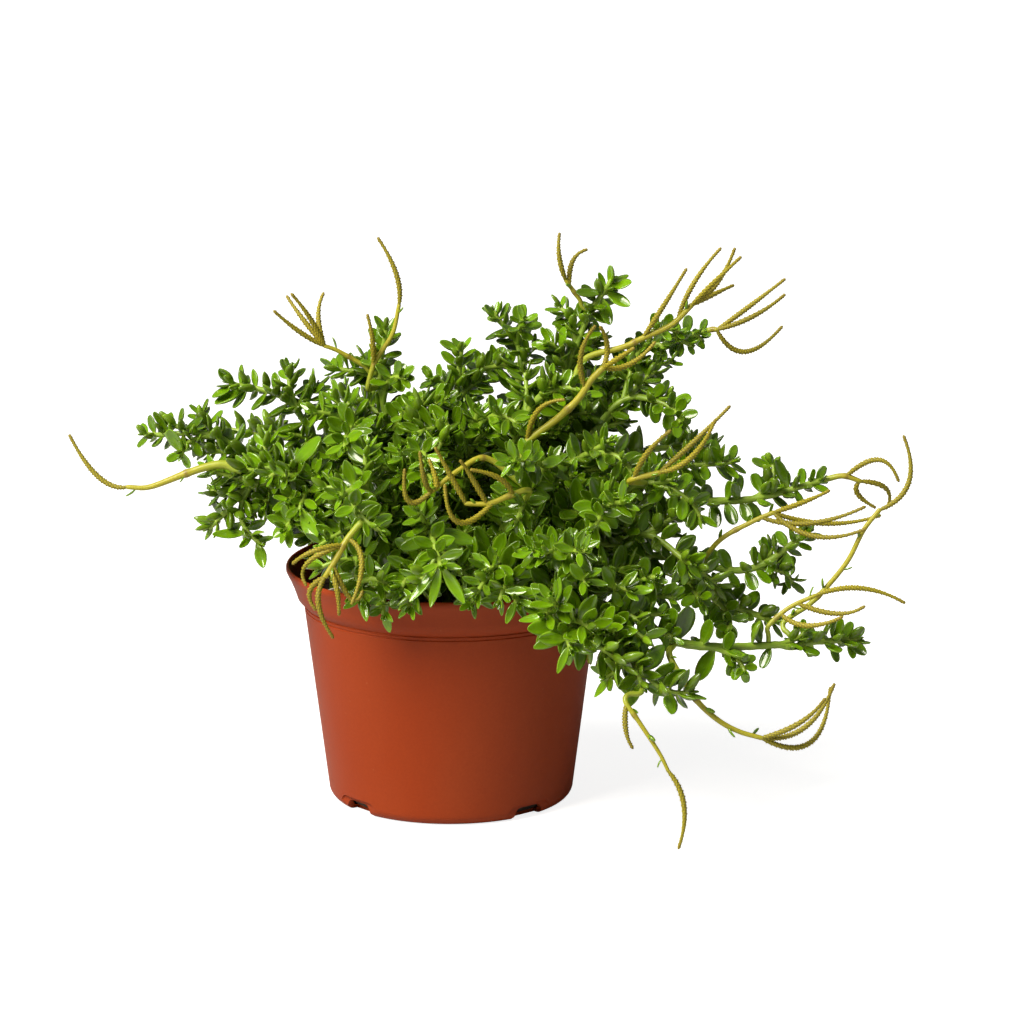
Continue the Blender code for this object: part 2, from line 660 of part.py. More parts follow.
class Thicket:
    """The space that is already taken, which each new leaf has to stay clear of."""

    def __init__(self):
        self.pieces = []
        self.cells = {}

    def add_strand(self, strand, verts, faces):
        self.add(strand, verts, BVHTree.FromPolygons(verts, faces), None)

    def add(self, strand, verts, whole, blade):
        """Add a piece; a leaf's blade is the part of it that is clear of its own stem."""
        self.pieces.append((strand, whole, blade))
        for key in self.keys(verts):
            self.cells.setdefault(key, set()).add(len(self.pieces) - 1)

    @staticmethod
    def keys(verts):
        low = [math.floor(min(vert[i] for vert in verts) / CELL) for i in range(3)]
        high = [math.floor(max(vert[i] for vert in verts) / CELL) for i in range(3)]
        return [
            (x, y, z)
            for x in range(low[0], high[0] + 1)
            for y in range(low[1], high[1] + 1)
            for z in range(low[2], high[2] + 1)
        ]

    def crosses(self, strand, verts, whole, blade):
        near = set()
        for key in self.keys(verts):
            near |= self.cells.get(key, set())
        for number in sorted(near):
            other_strand, other_whole, other_blade = self.pieces[number]
            if other_strand is not strand:
                if whole.overlap(other_whole):
                    return True
            elif other_blade is not None and blade.overlap(other_blade):
                return True
        return False


def in_pot(verts):
    """Whether any of the points lies in the soil, in the pot's wall or too near the floor."""
    for vert in verts:
        out = math.hypot(vert.x, vert.y)
        if vert.z < FLOOR_CLEARANCE:
            return True
        if out < RIM_RADIUS + RIM_AIR and vert.z < SOIL_TOP + SOIL_AIR:
            return True
        if RIM_RADIUS - RIM_ZONE < out < RIM_RADIUS + RIM_AIR and vert.z < POT_HEIGHT + RIM_AIR:
            return True
    return False


def place_leaf(thicket, leaf):
    """Turn, lean or shorten the leaf until it is clear of the rest; say whether it is."""
    turn, pitch, length, width = leaf.turn, leaf.pitch, leaf.length, leaf.width
    bark = leaf.strand.radius_at(leaf.distance) + BLADE_START
    for turned, leaned, scale in SECOND_TRIES:
        leaf.turn = turn + math.radians(turned)
        leaf.pitch = pitch + math.radians(leaned)
        leaf.length = length * scale
        leaf.width = width * scale
        verts, faces = leaf.solid(swell=LEAF_GAP)
        if in_pot(verts[1:]):
            continue
        whole = BVHTree.FromPolygons(verts, faces)
        blade = BVHTree.FromPolygons(*leaf.solid(start=bark, swell=LEAF_GAP))
        if not thicket.crosses(leaf.strand, verts, whole, blade):
            thicket.add(leaf.strand, verts, whole, blade)
            return True
    return False


def chosen_leaves(whorls):
    """The leaves of the solids: spaced along the strand from its tip down, on all sides in turn."""
    chosen = []
    next_distance = 0.0
    gap = FIRST_PICK
    for number, whorl in enumerate(whorls):
        if whorl[0].distance < next_distance:
            continue
        chosen.append(whorl[(number + len(chosen)) % WHORL])
        next_distance = whorl[0].distance + gap
        gap = min(gap * PICK_GROWTH, LAST_PICK)
    return chosen


def material(name, colour, roughness):
    made = bpy.data.materials.new(name)
    made.use_nodes = True
    shader = made.node_tree.nodes["Principled BSDF"]
    shader.inputs["Base Color"].default_value = (*colour, 1.0)
    shader.inputs["Roughness"].default_value = roughness
    made.diffuse_color = (*colour, 1.0)
    return made


def add_object(name, verts, faces, surface, collection=None):
    """A mesh object from points in millimetres."""
    mesh = bpy.data.meshes.new(name)
    mesh.from_pydata([Vector(v) * MM for v in verts], [], faces)
    made = bpy.data.objects.new(name, mesh)
    mesh.materials.append(surface)
    (collection or bpy.context.scene.collection).objects.link(made)
    return made


def apply_boolean(target, collection, operation, solver):
    """Join or cut the target with every object of the collection, then remove those objects."""
    boolean = target.modifiers.new(operation.lower(), "BOOLEAN")
    boolean.operation = operation
    boolean.operand_type = "COLLECTION"
    boolean.collection = collection
    boolean.solver = solver
    depsgraph = bpy.context.evaluated_depsgraph_get()
    result = bpy.data.meshes.new_from_object(target.evaluated_get(depsgraph))
    target.modifiers.clear()
    old = target.data
    result.name = old.name
    target.data = result
    bpy.data.meshes.remove(old)
    for piece in list(collection.objects):
        mesh = piece.data
        bpy.data.objects.remove(piece)
        bpy.data.meshes.remove(mesh)
    bpy.data.collections.remove(collection)


def keep_largest_body(target):
    """Drop loose scraps, so that the object stays one body."""
    mesh = bmesh.new()
    mesh.from_mesh(target.data)
    bodies = []
    seen = set()
    for start in mesh.verts:
        if start in seen:
            continue
        body = [start]
        seen.add(start)
        for vert in body:
            for edge in vert.link_edges:
                other = edge.other_vert(vert)
                if other not in seen:
                    seen.add(other)
                    body.append(other)
        bodies.append(body)
    bodies.sort(key=len)
    for body in bodies[:-1]:
        bmesh.ops.delete(mesh, geom=body, context="VERTS")
    mesh.to_mesh(target.data)
    mesh.free()


def fuse(name, parts, surface):
    """One object from several closed parts, joined by a Boolean union."""
    target = add_object(name, *parts[0], surface)
    others = bpy.data.collections.new(name + "_parts")
    bpy.context.scene.collection.children.link(others)
    for number, (verts, faces) in enumerate(parts[1:]):
        add_object(f"{name}_{number}", verts, faces, surface, others)
    apply_boolean(target, others, "UNION", "MANIFOLD")
    keep_largest_body(target)
    smooth(target, 50.0)
    return target


def smooth(target, angle):
    target.data.shade_smooth()
    target.data.set_sharp_from_angle(angle=math.radians(angle))


def wall_radius(height):
    """Outer radius of the pot's straight wall at a height."""
    return BASE_RADIUS + WALL_TAPER * height


def turned(profile, sides):
    """Vertices and faces of a profile turned round the Z axis, its two ends on the axis."""
    verts = [Vector((0.0, 0.0, profile[0][1]))]
    for radius, height in profile[1:-1]:
        for corner in range(sides):
            angle = math.tau * (corner + 0.5) / sides
            verts.append(Vector((radius * math.cos(angle), radius * math.sin(angle), height)))
    verts.append(Vector((0.0, 0.0, profile[-1][1])))
    faces = []
    rings = len(profile) - 2
    last = len(verts) - 1
    for corner in range(sides):
        after = (corner + 1) % sides
        faces.append((0, 1 + after, 1 + corner))
        for ring in range(rings - 1):
            low = 1 + ring * sides
            faces.append((low + corner, low + after, low + sides + after, low + sides + corner))
        low = 1 + (rings - 1) * sides
        faces.append((low + corner, low + after, last))
    return verts, faces


def corner_arc(radius, centre_out, centre_up, parts):
    """Points of a rounded bottom corner, from the flat base up to the wall."""
    points = []
    for part in range(parts + 1):
        angle = math.radians(-90.0 + 90.0 * part / parts)
        points.append((centre_out + radius * math.cos(angle), centre_up + radius * math.sin(angle)))
    return points


def make_pot(surface):
    """The nursery pot: tapered wall, rounded corner, flared rim band and four drain notches."""
    corner_out = wall_radius(CORNER_RADIUS) - CORNER_RADIUS
    outside = corner_arc(CORNER_RADIUS, corner_out, CORNER_RADIUS, 3)
    outside += [
        (wall_radius(BAND_BOTTOM), BAND_BOTTOM),
        (RIM_RADIUS - 5.2, BAND_BOTTOM + 3.2),
        (RIM_RADIUS - 3.4, POT_HEIGHT - 9.5),
        (RIM_RADIUS, POT_HEIGHT - 2.4),
        (RIM_RADIUS, POT_HEIGHT - 0.8),
        (RIM_RADIUS - 0.8, POT_HEIGHT),
    ]
    inside = [
        (RIM_RADIUS - WALL, POT_HEIGHT - 0.6),
        (RIM_RADIUS - 3.4 - WALL, POT_HEIGHT - 9.7),
        (wall_radius(BAND_BOTTOM) - WALL, BAND_BOTTOM - 0.4),
        (wall_radius(CORNER_RADIUS) - WALL, CORNER_RADIUS + 1.0),
        (corner_out + 0.4, FLOOR),
    ]
    profile = [(0.0, 0.0), *outside, *inside, (0.0, FLOOR)]
    pot = add_object("pot", *turned(profile, POT_SIDES), surface)
    cutters = bpy.data.collections.new("notches")
    bpy.context.scene.collection.children.link(cutters)
    for quarter in range(4):
        angle = math.radians(45.0 + 90.0 * quarter + NOTCH_TURN)
        out = Vector((math.sin(angle), -math.cos(angle), 0.0))
        side = Vector((-out.y, out.x, 0.0))
        near = out * (wall_radius(0.0) - NOTCH_DEPTH)
        far = out * (wall_radius(0.0) + 10.0)
        verts = []
        for place in (near, far):
            verts += [
                place - side * NOTCH_WIDTH * 0.5 - UP * 2.0,
                place + side * NOTCH_WIDTH * 0.5 - UP * 2.0,
                place + side * NOTCH_WIDTH * 0.4 + UP * NOTCH_HEIGHT,
                place - side * NOTCH_WIDTH * 0.4 + UP * NOTCH_HEIGHT,
            ]
        faces = [(0, 3, 2, 1), (4, 5, 6, 7), (0, 1, 5, 4), (1, 2, 6, 5), (2, 3, 7, 6), (3, 0, 4, 7)]
        add_object(f"notch_{quarter}", verts, faces, surface, cutters)
    apply_boolean(pot, cutters, "DIFFERENCE", "EXACT")
    smooth(pot, 35.0)
    return pot


def soil_solid():
    """The soil as it fills the pot, with a low uneven top."""
    draw = random.Random(5)
    inner = wall_radius(0.0) - WALL - SOIL_GAP
    top_out = inner + WALL_TAPER * BAND_BOTTOM
    corner = wall_radius(CORNER_RADIUS) - CORNER_RADIUS
    profile = [
        (0.0, FLOOR + SOIL_GAP),
        (corner - 0.8, FLOOR + SOIL_GAP),
        (inner + WALL_TAPER * (CORNER_RADIUS + 1.0) - 0.2, CORNER_RADIUS + 2.2),
        (top_out - 0.1, BAND_BOTTOM - 0.6),
        (top_out + 0.6, SOIL_TOP),
        (top_out - 24.0, SOIL_TOP),
        (0.0, SOIL_TOP),
    ]
    verts, faces = turned(profile, POT_SIDES)
    for vert in verts:
        if vert.z > SOIL_TOP - 0.1:
            vert.z += draw.uniform(-SOIL_RELIEF, SOIL_RELIEF)
    return verts, faces


def make_soil(surface, stems):
    """The soil with a plain hole for each stem."""
    soil = add_object("soil", *soil_solid(), surface)
    holes = bpy.data.collections.new("holes")
    bpy.context.scene.collection.children.link(holes)
    for stem in stems:
        foot = stem.points[0] - UP * 0.4
        top = stem.points[stem.held - 1]
        radius = STEM_BASE_RADIUS + 0.5
        verts, faces = tube([foot, top], [radius, radius], STEM_SIDES)
        add_object("hole_" + stem.node, verts, faces, surface, holes)
    apply_boolean(soil, holes, "DIFFERENCE", "EXACT")
    smooth(soil, 35.0)
    return soil


def strand_solid(strand):
    """The faceted tube of a strand."""
    sides = {"stem": STEM_SIDES, "shoot": SHOOT_SIDES, "stalk": STALK_SIDES, "spike": SPIKE_SIDES}
    return tube(*coarse_points(strand), sides[strand.kind])


def clear_scene():
    for item in list(bpy.data.objects):
        bpy.data.objects.remove(item)


def grow_strands():
    """All stems, side shoots, stalks and spikes, clear of each other."""
    stems = stem_strands()
    strands = stems + spray_strands(stems)
    ease_apart(strands)
    return stems, strands


def main():
    clear_scene()
    terracotta = material("terracotta_plastic", (0.46, 0.12, 0.045), 0.55)
    peat = material("peat", (0.035, 0.022, 0.014), 0.95)
    leaf_green = material("leaf_green", (0.09, 0.27, 0.035), 0.35)
    flower_yellow = material("flower_yellow", (0.42, 0.36, 0.05), 0.6)

    stems, strands = grow_strands()
    thicket = Thicket()
    solids = {}
    for strand in strands:
        verts, faces = strand_solid(strand)
        solids.setdefault(strand.node, []).append((verts, faces))
        thicket.add_strand(strand, verts, faces)

    for number, strand in enumerate(stems):
        for leaf in chosen_leaves(whorl_leaves(strand, number)):
            if place_leaf(thicket, leaf):
                solids[strand.node].append(leaf.solid())

    make_pot(terracotta)
    make_soil(peat, [strand for strand in stems if strand.kind == "stem"])
    for node, parts in solids.items():
        fuse(node, parts, leaf_green if node.startswith("stem_") else flower_yellow)


main()
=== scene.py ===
"""Looks of a potted peperomia: its pot, soil, leafy stems and flower sprays, with their finishes.

The stems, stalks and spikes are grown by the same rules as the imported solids, so each of them and
each leaf of those solids keeps its place. Tables and growing are in millimetres, meshes in metres.
Distances along a stem are counted back from its tip.
"""

import json
import math
import random

import bmesh
import bpy
import numpy as np
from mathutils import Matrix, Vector, noise
from mathutils.bvhtree import BVHTree
from mathutils.kdtree import KDTree

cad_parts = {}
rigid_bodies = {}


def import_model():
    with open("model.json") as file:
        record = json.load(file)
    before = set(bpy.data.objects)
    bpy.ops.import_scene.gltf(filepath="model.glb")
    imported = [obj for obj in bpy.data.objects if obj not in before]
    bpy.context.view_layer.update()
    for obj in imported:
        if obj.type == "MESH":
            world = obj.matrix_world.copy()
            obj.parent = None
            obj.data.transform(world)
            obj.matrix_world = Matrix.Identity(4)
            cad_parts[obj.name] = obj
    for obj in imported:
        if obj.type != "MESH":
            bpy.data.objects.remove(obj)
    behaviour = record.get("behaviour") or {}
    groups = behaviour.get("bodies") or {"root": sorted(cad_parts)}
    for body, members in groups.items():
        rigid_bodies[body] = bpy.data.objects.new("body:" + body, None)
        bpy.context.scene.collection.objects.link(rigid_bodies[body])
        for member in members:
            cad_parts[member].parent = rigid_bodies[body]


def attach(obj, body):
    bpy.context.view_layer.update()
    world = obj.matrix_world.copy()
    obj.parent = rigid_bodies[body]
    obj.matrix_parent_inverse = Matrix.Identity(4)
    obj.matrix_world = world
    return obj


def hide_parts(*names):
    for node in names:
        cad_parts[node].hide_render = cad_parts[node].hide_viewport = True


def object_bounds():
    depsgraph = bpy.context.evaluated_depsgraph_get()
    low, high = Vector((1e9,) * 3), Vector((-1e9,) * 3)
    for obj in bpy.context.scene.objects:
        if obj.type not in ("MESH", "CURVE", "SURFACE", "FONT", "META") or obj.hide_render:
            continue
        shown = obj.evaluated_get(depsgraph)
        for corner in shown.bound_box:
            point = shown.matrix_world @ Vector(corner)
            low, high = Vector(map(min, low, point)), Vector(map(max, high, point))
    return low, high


bl_info = {
    "name": "Potted peperomia",
    "version": (1, 0, 0),
    "blender": (4, 5, 0),
    "location": "View3D > Sidebar > Peperomia",
    "description": "Pot, soil, leafy stems and flower sprays of a trailing peperomia",
    "category": "Add Mesh",
}

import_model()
CAD_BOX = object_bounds()

MM = 0.001
UP = Vector((0.0, 0.0, 1.0))

# Where each row of random choices starts
FINISH_SEED = 11
LOOSE_SEED = 31
RIM_SEED = 61
GRAIN_SEED = 77
SHOOT_SEED = 700
LOW_SEED = 900
STEM_SEED = 1000
BUD_SEED = 2000
SPIKE_SEED = 3000
STALK_SEED = 4000
FILLING_SEED = 5000

# Pot
RIM_RADIUS = 76.0
POT_HEIGHT = 110.2
BASE_RADIUS = 56.2
WALL_TAPER = 0.127
WALL = 1.7
FLOOR = 1.8
CORNER_RADIUS = 5.5
BAND_BOTTOM = 92.2
NOTCH_DEPTH = 7.0
NOTCH_TURN = -4.5

# Soil
SOIL_TOP = 97.0
SOIL_GAP = 0.35
ROOT_DEPTH = 16.0
COLLAR_HEIGHT = 6.0
ROOT_CIRCLE = 54.0
ROOT_SPACING = 10.0
ROOT_REACH = 0.40

# Stems and side shoots
STEM_SIDES = 4
STEM_BASE_RADIUS = 2.2
STEM_TIP_RADIUS = 1.0
SHOOT_SIDES = 3
SHOOT_BASE_RADIUS = 1.25
SHOOT_TIP_RADIUS = 0.8
SHOOT_LEAD = 14.0
SHOOT_LEAVES = 0.92
SHIFT_FADE = 6
FINE_STEP = 3.0
TIP_LENGTH = 1.2
FACET_ERROR = 1.1
CLEARANCE = 1.7
RIM_ZONE = 9.0
RIM_AIR = 0.8
SOIL_AIR = 2.0

# Leaves
LEAF_YOUNG = 6.8
LEAF_GROWN = 13.0
LEAF_OLD = 20.5
OLD_FROM = 34.0
OLD_OVER = 40.0
TIP_ZONE = 8.5
PITCH_YOUNG = 38.0
PITCH_OLD = 80.0
PITCH_ZONE = 5.0
BREADTH_YOUNG = 0.40
BREADTH_OLD = 0.47
BREADTH_SPREAD = 0.04
SMALL_BREADTH = 0.8
LEAF_FLESH = 0.29
LEAF_LEAST_FLESH = 0.75
LEAF_FOLD = 0.06
LEAF_GAP = 0.3
LEAF_LIFT = 0.15
BLADE_START = 1.2
WHORL = 3
CELL = 12.0
FIRST_WHORL = 1.6
FIRST_SPACING = 3.2
SPACING_GROWTH = 1.15
LAST_SPACING = 6.0
BARE_FOOT = 32.0
BARE_SHOOT_FOOT = 5.0
FIRST_PICK = 5.0
PICK_GROWTH = 1.4
LAST_PICK = 8.5

# Flower sprays
STALK_SIDES = 4
SPIKE_SIDES = 3
SPIKE_RADIUS = 1.05
SPIKE_TIP_RADIUS = 0.65
SPRAY_SEAT = 0.4
STALK_REACH = 8.0
STALK_LEAD = 2.5
FLOOR_CLEARANCE = 9.0

# Each leafy stem: name, leaf size factor, points on its way, tip, tips of its side shoots
STEMS = [
    ("far_left", 0.75, [(-98, -15, 168)], (-139, -15, 174), [(-114, -8, 183), (-122, -24, 166)]),
    ("left_high", 0.85, [(-69, 0, 180)], (-101, 5, 194), [(-73, 6, 200), (-61, 8, 192)]),
    ("left_low", 0.95, [(-81, -30, 154)], (-109, -30, 134), [(-108, -25, 150), (-86, -40, 129)]),
    ("left_flowering", 0.9, [(-62, -32, 158)], (-92, -37, 162), [(-67, -50, 147)]),
    ("upleft_tall", 0.8, [(-31, 0, 187)], (-29, 0, 220), [(-21, -14, 200), (-40, 8, 204)]),
    ("upleft_mid", 1.0, [], (-52, -12, 190), [(-47, -42, 174)]),
    ("middle_left", 1.0, [], (-22, -50, 174), [(-8, -34, 178)]),
    ("front_left", 1.0, [(-36, -50, 155)], (-48, -72, 158), [(-30, -84, 145)]),
    ("front_left_low", 1.05, [(-40, -62, 128)], (-38, -82, 113), [(-57, -66, 124)]),
    ("front_middle", 1.05, [(-8, -66, 140)], (-3, -91, 131), [(-13, -76, 152)]),
    ("front_middle_low", 1.1, [(22, -70, 128)], (31, -93, 115), [(16, -88, 128)]),
    ("middle_star", 1.0, [], (47, -60, 171), [(30, -80, 148)]),
    ("top_star", 0.8, [], (5, 15, 208), [(-9, 4, 196)]),
    ("top_mid", 0.8, [(32, 20, 196)], (20, 25, 223), [(39, 22, 207)]),
    ("middle_top", 1.0, [], (13, -20, 186), [(30, -36, 184)]),
    ("top_high", 0.8, [(58, 10, 210)], (74, 10, 241), [(50, 16, 227), (44, 4, 213)]),
    ("top_right", 0.62, [(84, 20, 200)], (117, 25, 214), [(94, 14, 197)]),
    ("top_cross", 0.9, [], (47, -15, 200), [(62, -25, 194)]),
    ("ridge", 0.8, [(72, 0, 180)], (100, 0, 188), [(105, -18, 180)]),
    ("middle_right", 1.0, [], (72, -48, 178), [(82, -58, 165)]),
    ("lower_right", 1.05, [(56, -54, 146)], (78, -75, 156), [(64, -84, 146)]),
    ("outer_right", 0.9, [(76, -38, 150)], (100, -48, 160), [(113, -55, 144)]),
    ("front_star", 1.05, [(46, -76, 134)], (61, -101, 126), [(43, -95, 138)]),
    ("right_upper", 0.85, [(92, -2, 150)], (130, -5, 159), [(113, 4, 165)]),
    ("right_long", 0.72, [(90, -10, 138), (138, -8, 142)], (170, -5, 150), [(148, 2, 157)]),
    ("right_fork", 0.75, [(92, -36, 122), (134, -42, 117)], (163, -35, 133),
     [(146, -28, 124), (156, -31, 108)]),
    ("right_under", 0.95, [(84, -46, 134)], (108, -62, 125), [(121, -48, 111)]),
    ("right_trailing", 0.75, [(70, -52, 118), (103, -80, 93)], (185, -52, 87),
     [(160, -62, 93), (132, -84, 81)]),
    ("right_inner", 0.8, [(86, -30, 118), (118, -38, 104)], (148, -40, 92), [(126, -54, 92)]),
    ("rim_hanging", 1.2, [(56, -66, 120), (76, -92, 100)], (86, -105, 80),
     [(70, -106, 84), (106, -105, 77)]),
    ("rim_low", 1.3, [(42, -66, 121)], (54, -106, 98), [(66, -98, 104)]),
    ("back_left", 0.95, [(-66, 26, 158)], (-104, 42, 164), [(-82, 56, 160)]),
    ("back_left_low", 1.05, [(-62, 50, 134)], (-92, 70, 122), [(-96, 48, 134)]),
    ("back_hill_left", 0.95, [], (-54, 66, 178), [(-32, 52, 186)]),
    ("back_low_left", 1.1, [(-30, 72, 134)], (-36, 104, 118), [(-58, 88, 134)]),
    ("back_hill", 0.95, [], (6, 72, 184), [(24, 54, 196)]),
    ("back_low_right", 1.1, [(26, 74, 134)], (34, 108, 116), [(8, 96, 130)]),
    ("back_hill_right", 0.95, [], (62, 62, 184), [(84, 44, 182)]),
    ("back_right", 0.95, [(84, 42, 150)], (124, 52, 152), [(104, 70, 150)]),
    ("back_right_low", 1.05, [(66, 60, 128)], (100, 86, 112), [(80, 96, 128)]),
]

# Each flower spray: name, stem that carries it, stalk radius at its foot and end, stalk, and for each
# place on the stalk the spikes that leave it, with the middle and the end of each
SPRAYS = [
    ("far_left", "left_flowering", 2.3, 1.1,
     [(-104, -37, 165), (-118, -38, 161), (-135, -40, 155), (-145, -40, 155)],
     [((-145, -40, 155), (-158, -38, 159, -171, -34, 177))]),
    ("upper_left", "upleft_tall", 1.2, 1.0,
     [(-36, -2, 200), (-50, -4, 210), (-57, -5, 213)],
     [((-57, -5, 213), (-68, -8, 220, -79, -12, 230), (-67, -2, 225, -74, 3, 234),
       (-63, -9, 226, -71, -13, 238), (-60, 1, 225, -58, 5, 235))]),
    ("tall_left", "upleft_tall", 1.4, 1.0,
     [(-38, -6, 193), (-34, -7, 206), (-26, -7, 219), (-23, -6, 232)],
     [((-23, -6, 232), (-24, -6, 246, -32, -4, 262)),
      ((-35, -7, 203), (-35, -11, 217, -37, -12, 228))]),
    ("top", "top_high", 1.1, 1.0,
     [(60, 8, 227), (53, 8, 241)],
     [((53, 8, 241), (50, 6, 252, 50, 8, 262)),
      ((54, 8, 239), (56, 12, 249, 62, 14, 254))]),
    ("middle_thick", "middle_star", 2.0, 1.5,
     [(33, -44, 174), (49, -46, 188), (58, -47, 197), (64, -47, 206), (69, -47, 211)],
     [((62, -47, 203), (59, -50, 217, 65, -54, 231)),
      ((69, -47, 211), (71, -44, 220, 68, -50, 230), (76, -53, 217, 82, -58, 222),
       (81, -43, 212, 92, -40, 221)),
      ((36, -45, 177), (40, -49, 192, 51, -54, 198))]),
    ("top_comb", "top_cross", 1.6, 1.3,
     [(62, -9, 208), (79, -8, 213), (88, -7, 217), (101, -6, 223), (110, -6, 232)],
     [((88, -7, 217), (97, -9, 232, 107, -11, 249)),
      ((103, -6, 225), (111, -1, 241, 123, 4, 256)),
      ((110, -6, 232), (121, -8, 242, 129, -9, 258), (120, -13, 244, 131, -19, 256),
       (120, -1, 236, 129, 5, 239))]),
    ("right_fan", "top_right", 1.3, 1.1,
     [(118, 24, 213), (123, 24, 215)],
     [((123, 24, 215), (135, 27, 223, 154, 31, 237), (139, 19, 222, 153, 13, 233),
       (136, 27, 204, 153, 29, 215))]),
    ("outer_pair", "outer_right", 1.5, 1.3,
     [(81, -62, 163), (94, -64, 167)],
     [((83, -62, 164), (88, -67, 176, 98, -70, 187)),
      ((94, -64, 167), (108, -68, 175, 118, -72, 192), (109, -61, 180, 125, -56, 195))]),
    ("middle_low", "middle_star", 1.6, 1.1,
     [(36, -78, 163), (27, -80, 160), (18, -82, 157), (8, -82, 157)],
     [((16, -82, 157), (10, -87, 171, 6, -91, 178)),
      ((28, -80, 160), (23, -85, 169, 11, -90, 174)),
      ((8, -82, 157), (1, -85, 171, -5, -88, 183)),
      ((19, -82, 157), (5, -93, 151, -1, -96, 168))]),
    ("front_middle", "middle_star", 1.6, 1.1,
     [(17, -66, 174), (5, -72, 170), (-7, -79, 162)],
     [((-7, -79, 162), (-10, -86, 168, -12, -88, 181), (-5, -78, 165, -8, -76, 175),
       (-17, -83, 158, -19, -83, 172))]),
    ("front_left_tassel", "front_left", 1.6, 1.3,
     [(-45, -86, 141), (-49, -89, 134), (-54, -91, 126)],
     [((-47, -87, 138), (-59, -93, 138, -68, -90, 132), (-62, -86, 131, -63, -88, 122)),
      ((-54, -91, 126), (-61, -89, 119, -59, -89, 111), (-57, -96, 115, -51, -96, 100)),
      ((-52, -90, 130), (-49, -94, 122, -48, -94, 110)),
      ((-51, -90, 131), (-43, -91, 116, -38, -88, 118)),
      ((-45, -86, 141), (-38, -91, 133, -42, -98, 116))]),
    ("right_middle", "right_inner", 1.3, 1.1,
     [(121, -47, 131), (137, -48, 141), (146, -48, 145)],
     [((146, -48, 145), (160, -44, 149, 171, -40, 153)),
      ((140, -48, 143), (162, -52, 141, 186, -55, 149)),
      ((146, -48, 145), (170, -44, 139, 194, -42, 142), (164, -56, 136, 186, -60, 140))]),
    ("right_tip", "right_long", 1.5, 1.2,
     [(172, -5, 151), (181, -6, 153), (188, -6, 150)],
     [((181, -6, 153), (196, -10, 161, 205, -12, 152)),
      ((188, -6, 150), (187, -4, 144, 195, -2, 137), (200, -2, 146, 202, 2, 137))]),
    ("right_sweep", "right_trailing", 1.3, 1.1,
     [(150, -56, 96), (161, -58, 104), (169, -58, 112), (179, -58, 125), (186, -57, 139),
      (193, -56, 148)],
     [((193, -56, 148), (206, -54, 160, 204, -50, 180))]),
    ("right_low", "right_trailing", 1.2, 1.0,
     [(143, -68, 98), (153, -67, 106), (164, -66, 111)],
     [((164, -66, 111), (184, -64, 114, 204, -62, 107)),
      ((157, -67, 107), (173, -71, 104, 185, -75, 108)),
      ((148, -68, 102), (160, -73, 99, 175, -78, 104))]),
    ("right_hanging", "right_trailing", 1.6, 1.1,
     [(98, -92, 90), (105, -96, 79), (111, -97, 70), (120, -98, 62), (129, -98, 57), (139, -98, 54)],
     [((139, -98, 54), (158, -96, 58, 171, -94, 77), (155, -103, 62, 166, -107, 74),
       (161, -92, 50, 170, -86, 73))]),
    ("rim_drooping", "rim_hanging", 1.3, 0.9,
     [(77, -112, 76), (83, -115, 68), (93, -118, 53), (97, -119, 45)],
     [((97, -119, 45), (104, -121, 30, 102, -122, 11)),
      ((79, -113, 73), (78, -117, 64, 81, -119, 56))]),
]


class Strand:
    """A round length of stem, side shoot, stalk or spike, as a row of points with a radius each."""

    def __init__(self, node, kind, points, foot_radius, tip_radius, parent=None, held=1):
        self.node = node
        self.kind = kind
        self.points = points
        last = len(points) - 1
        self.radii = [foot_radius + (tip_radius - foot_radius) * i / last for i in range(last + 1)]
        self.parent = parent
        self.joint = 0
        self.held = held
        self.seats = set()
        self.leaf_factor = 1.0
        self.length = sum((b - a).length for a, b in zip(points, points[1:]))

    def radius_at(self, distance_from_tip):
        share = min(1.0, max(0.0, distance_from_tip / self.length))
        return self.radii[-1] + (self.radii[0] - self.radii[-1]) * share

    def place(self, distance_from_tip):
        """The point and the direction towards the tip, a distance back from the tip."""
        left = distance_from_tip
        for index in range(len(self.points) - 1, 0, -1):
            start = self.points[index - 1]
            end = self.points[index]
            step = (end - start).length
            if left <= step:
                return end.lerp(start, left / step), (end - start).normalized()
            left -= step
        return self.points[0].copy(), (self.points[1] - self.points[0]).normalized()


def smooth_path(points, first_direction=None, step=FINE_STEP):
    """Points at even steps along a smooth curve through the given points."""
    knots = [Vector(point) for point in points]
    tangents = []
    for index, knot in enumerate(knots):
        before = knots[max(index - 1, 0)]
        after = knots[min(index + 1, len(knots) - 1)]
        tangents.append((after - before) / (2.0 if 0 < index < len(knots) - 1 else 1.0))
    if first_direction is not None:
        tangents[0] = first_direction * (knots[1] - knots[0]).length
    dense = [knots[0]]
    parts = 24
    for index in range(len(knots) - 1):
        start, end = knots[index], knots[index + 1]
        for part in range(1, parts + 1):
            t = part / parts
            dense.append(
                start * (2 * t**3 - 3 * t**2 + 1)
                + tangents[index] * (t**3 - 2 * t**2 + t)
                + end * (3 * t**2 - 2 * t**3)
                + tangents[index + 1] * (t**3 - t**2)
            )
    return even_steps(dense, step)


def even_steps(points, step):
    """The same line, with its points at even distances of about one step."""
    lengths = [0.0]
    for start, end in zip(points, points[1:]):
        lengths.append(lengths[-1] + (end - start).length)
    count = max(2, round(lengths[-1] / step))
    result = []
    index = 0
    for number in range(count + 1):
        target = lengths[-1] * number / count
        while index < len(points) - 2 and lengths[index + 1] < target:
            index += 1
        share = (target - lengths[index]) / max(lengths[index + 1] - lengths[index], 1e-9)
        result.append(points[index].lerp(points[index + 1], share))
    return result


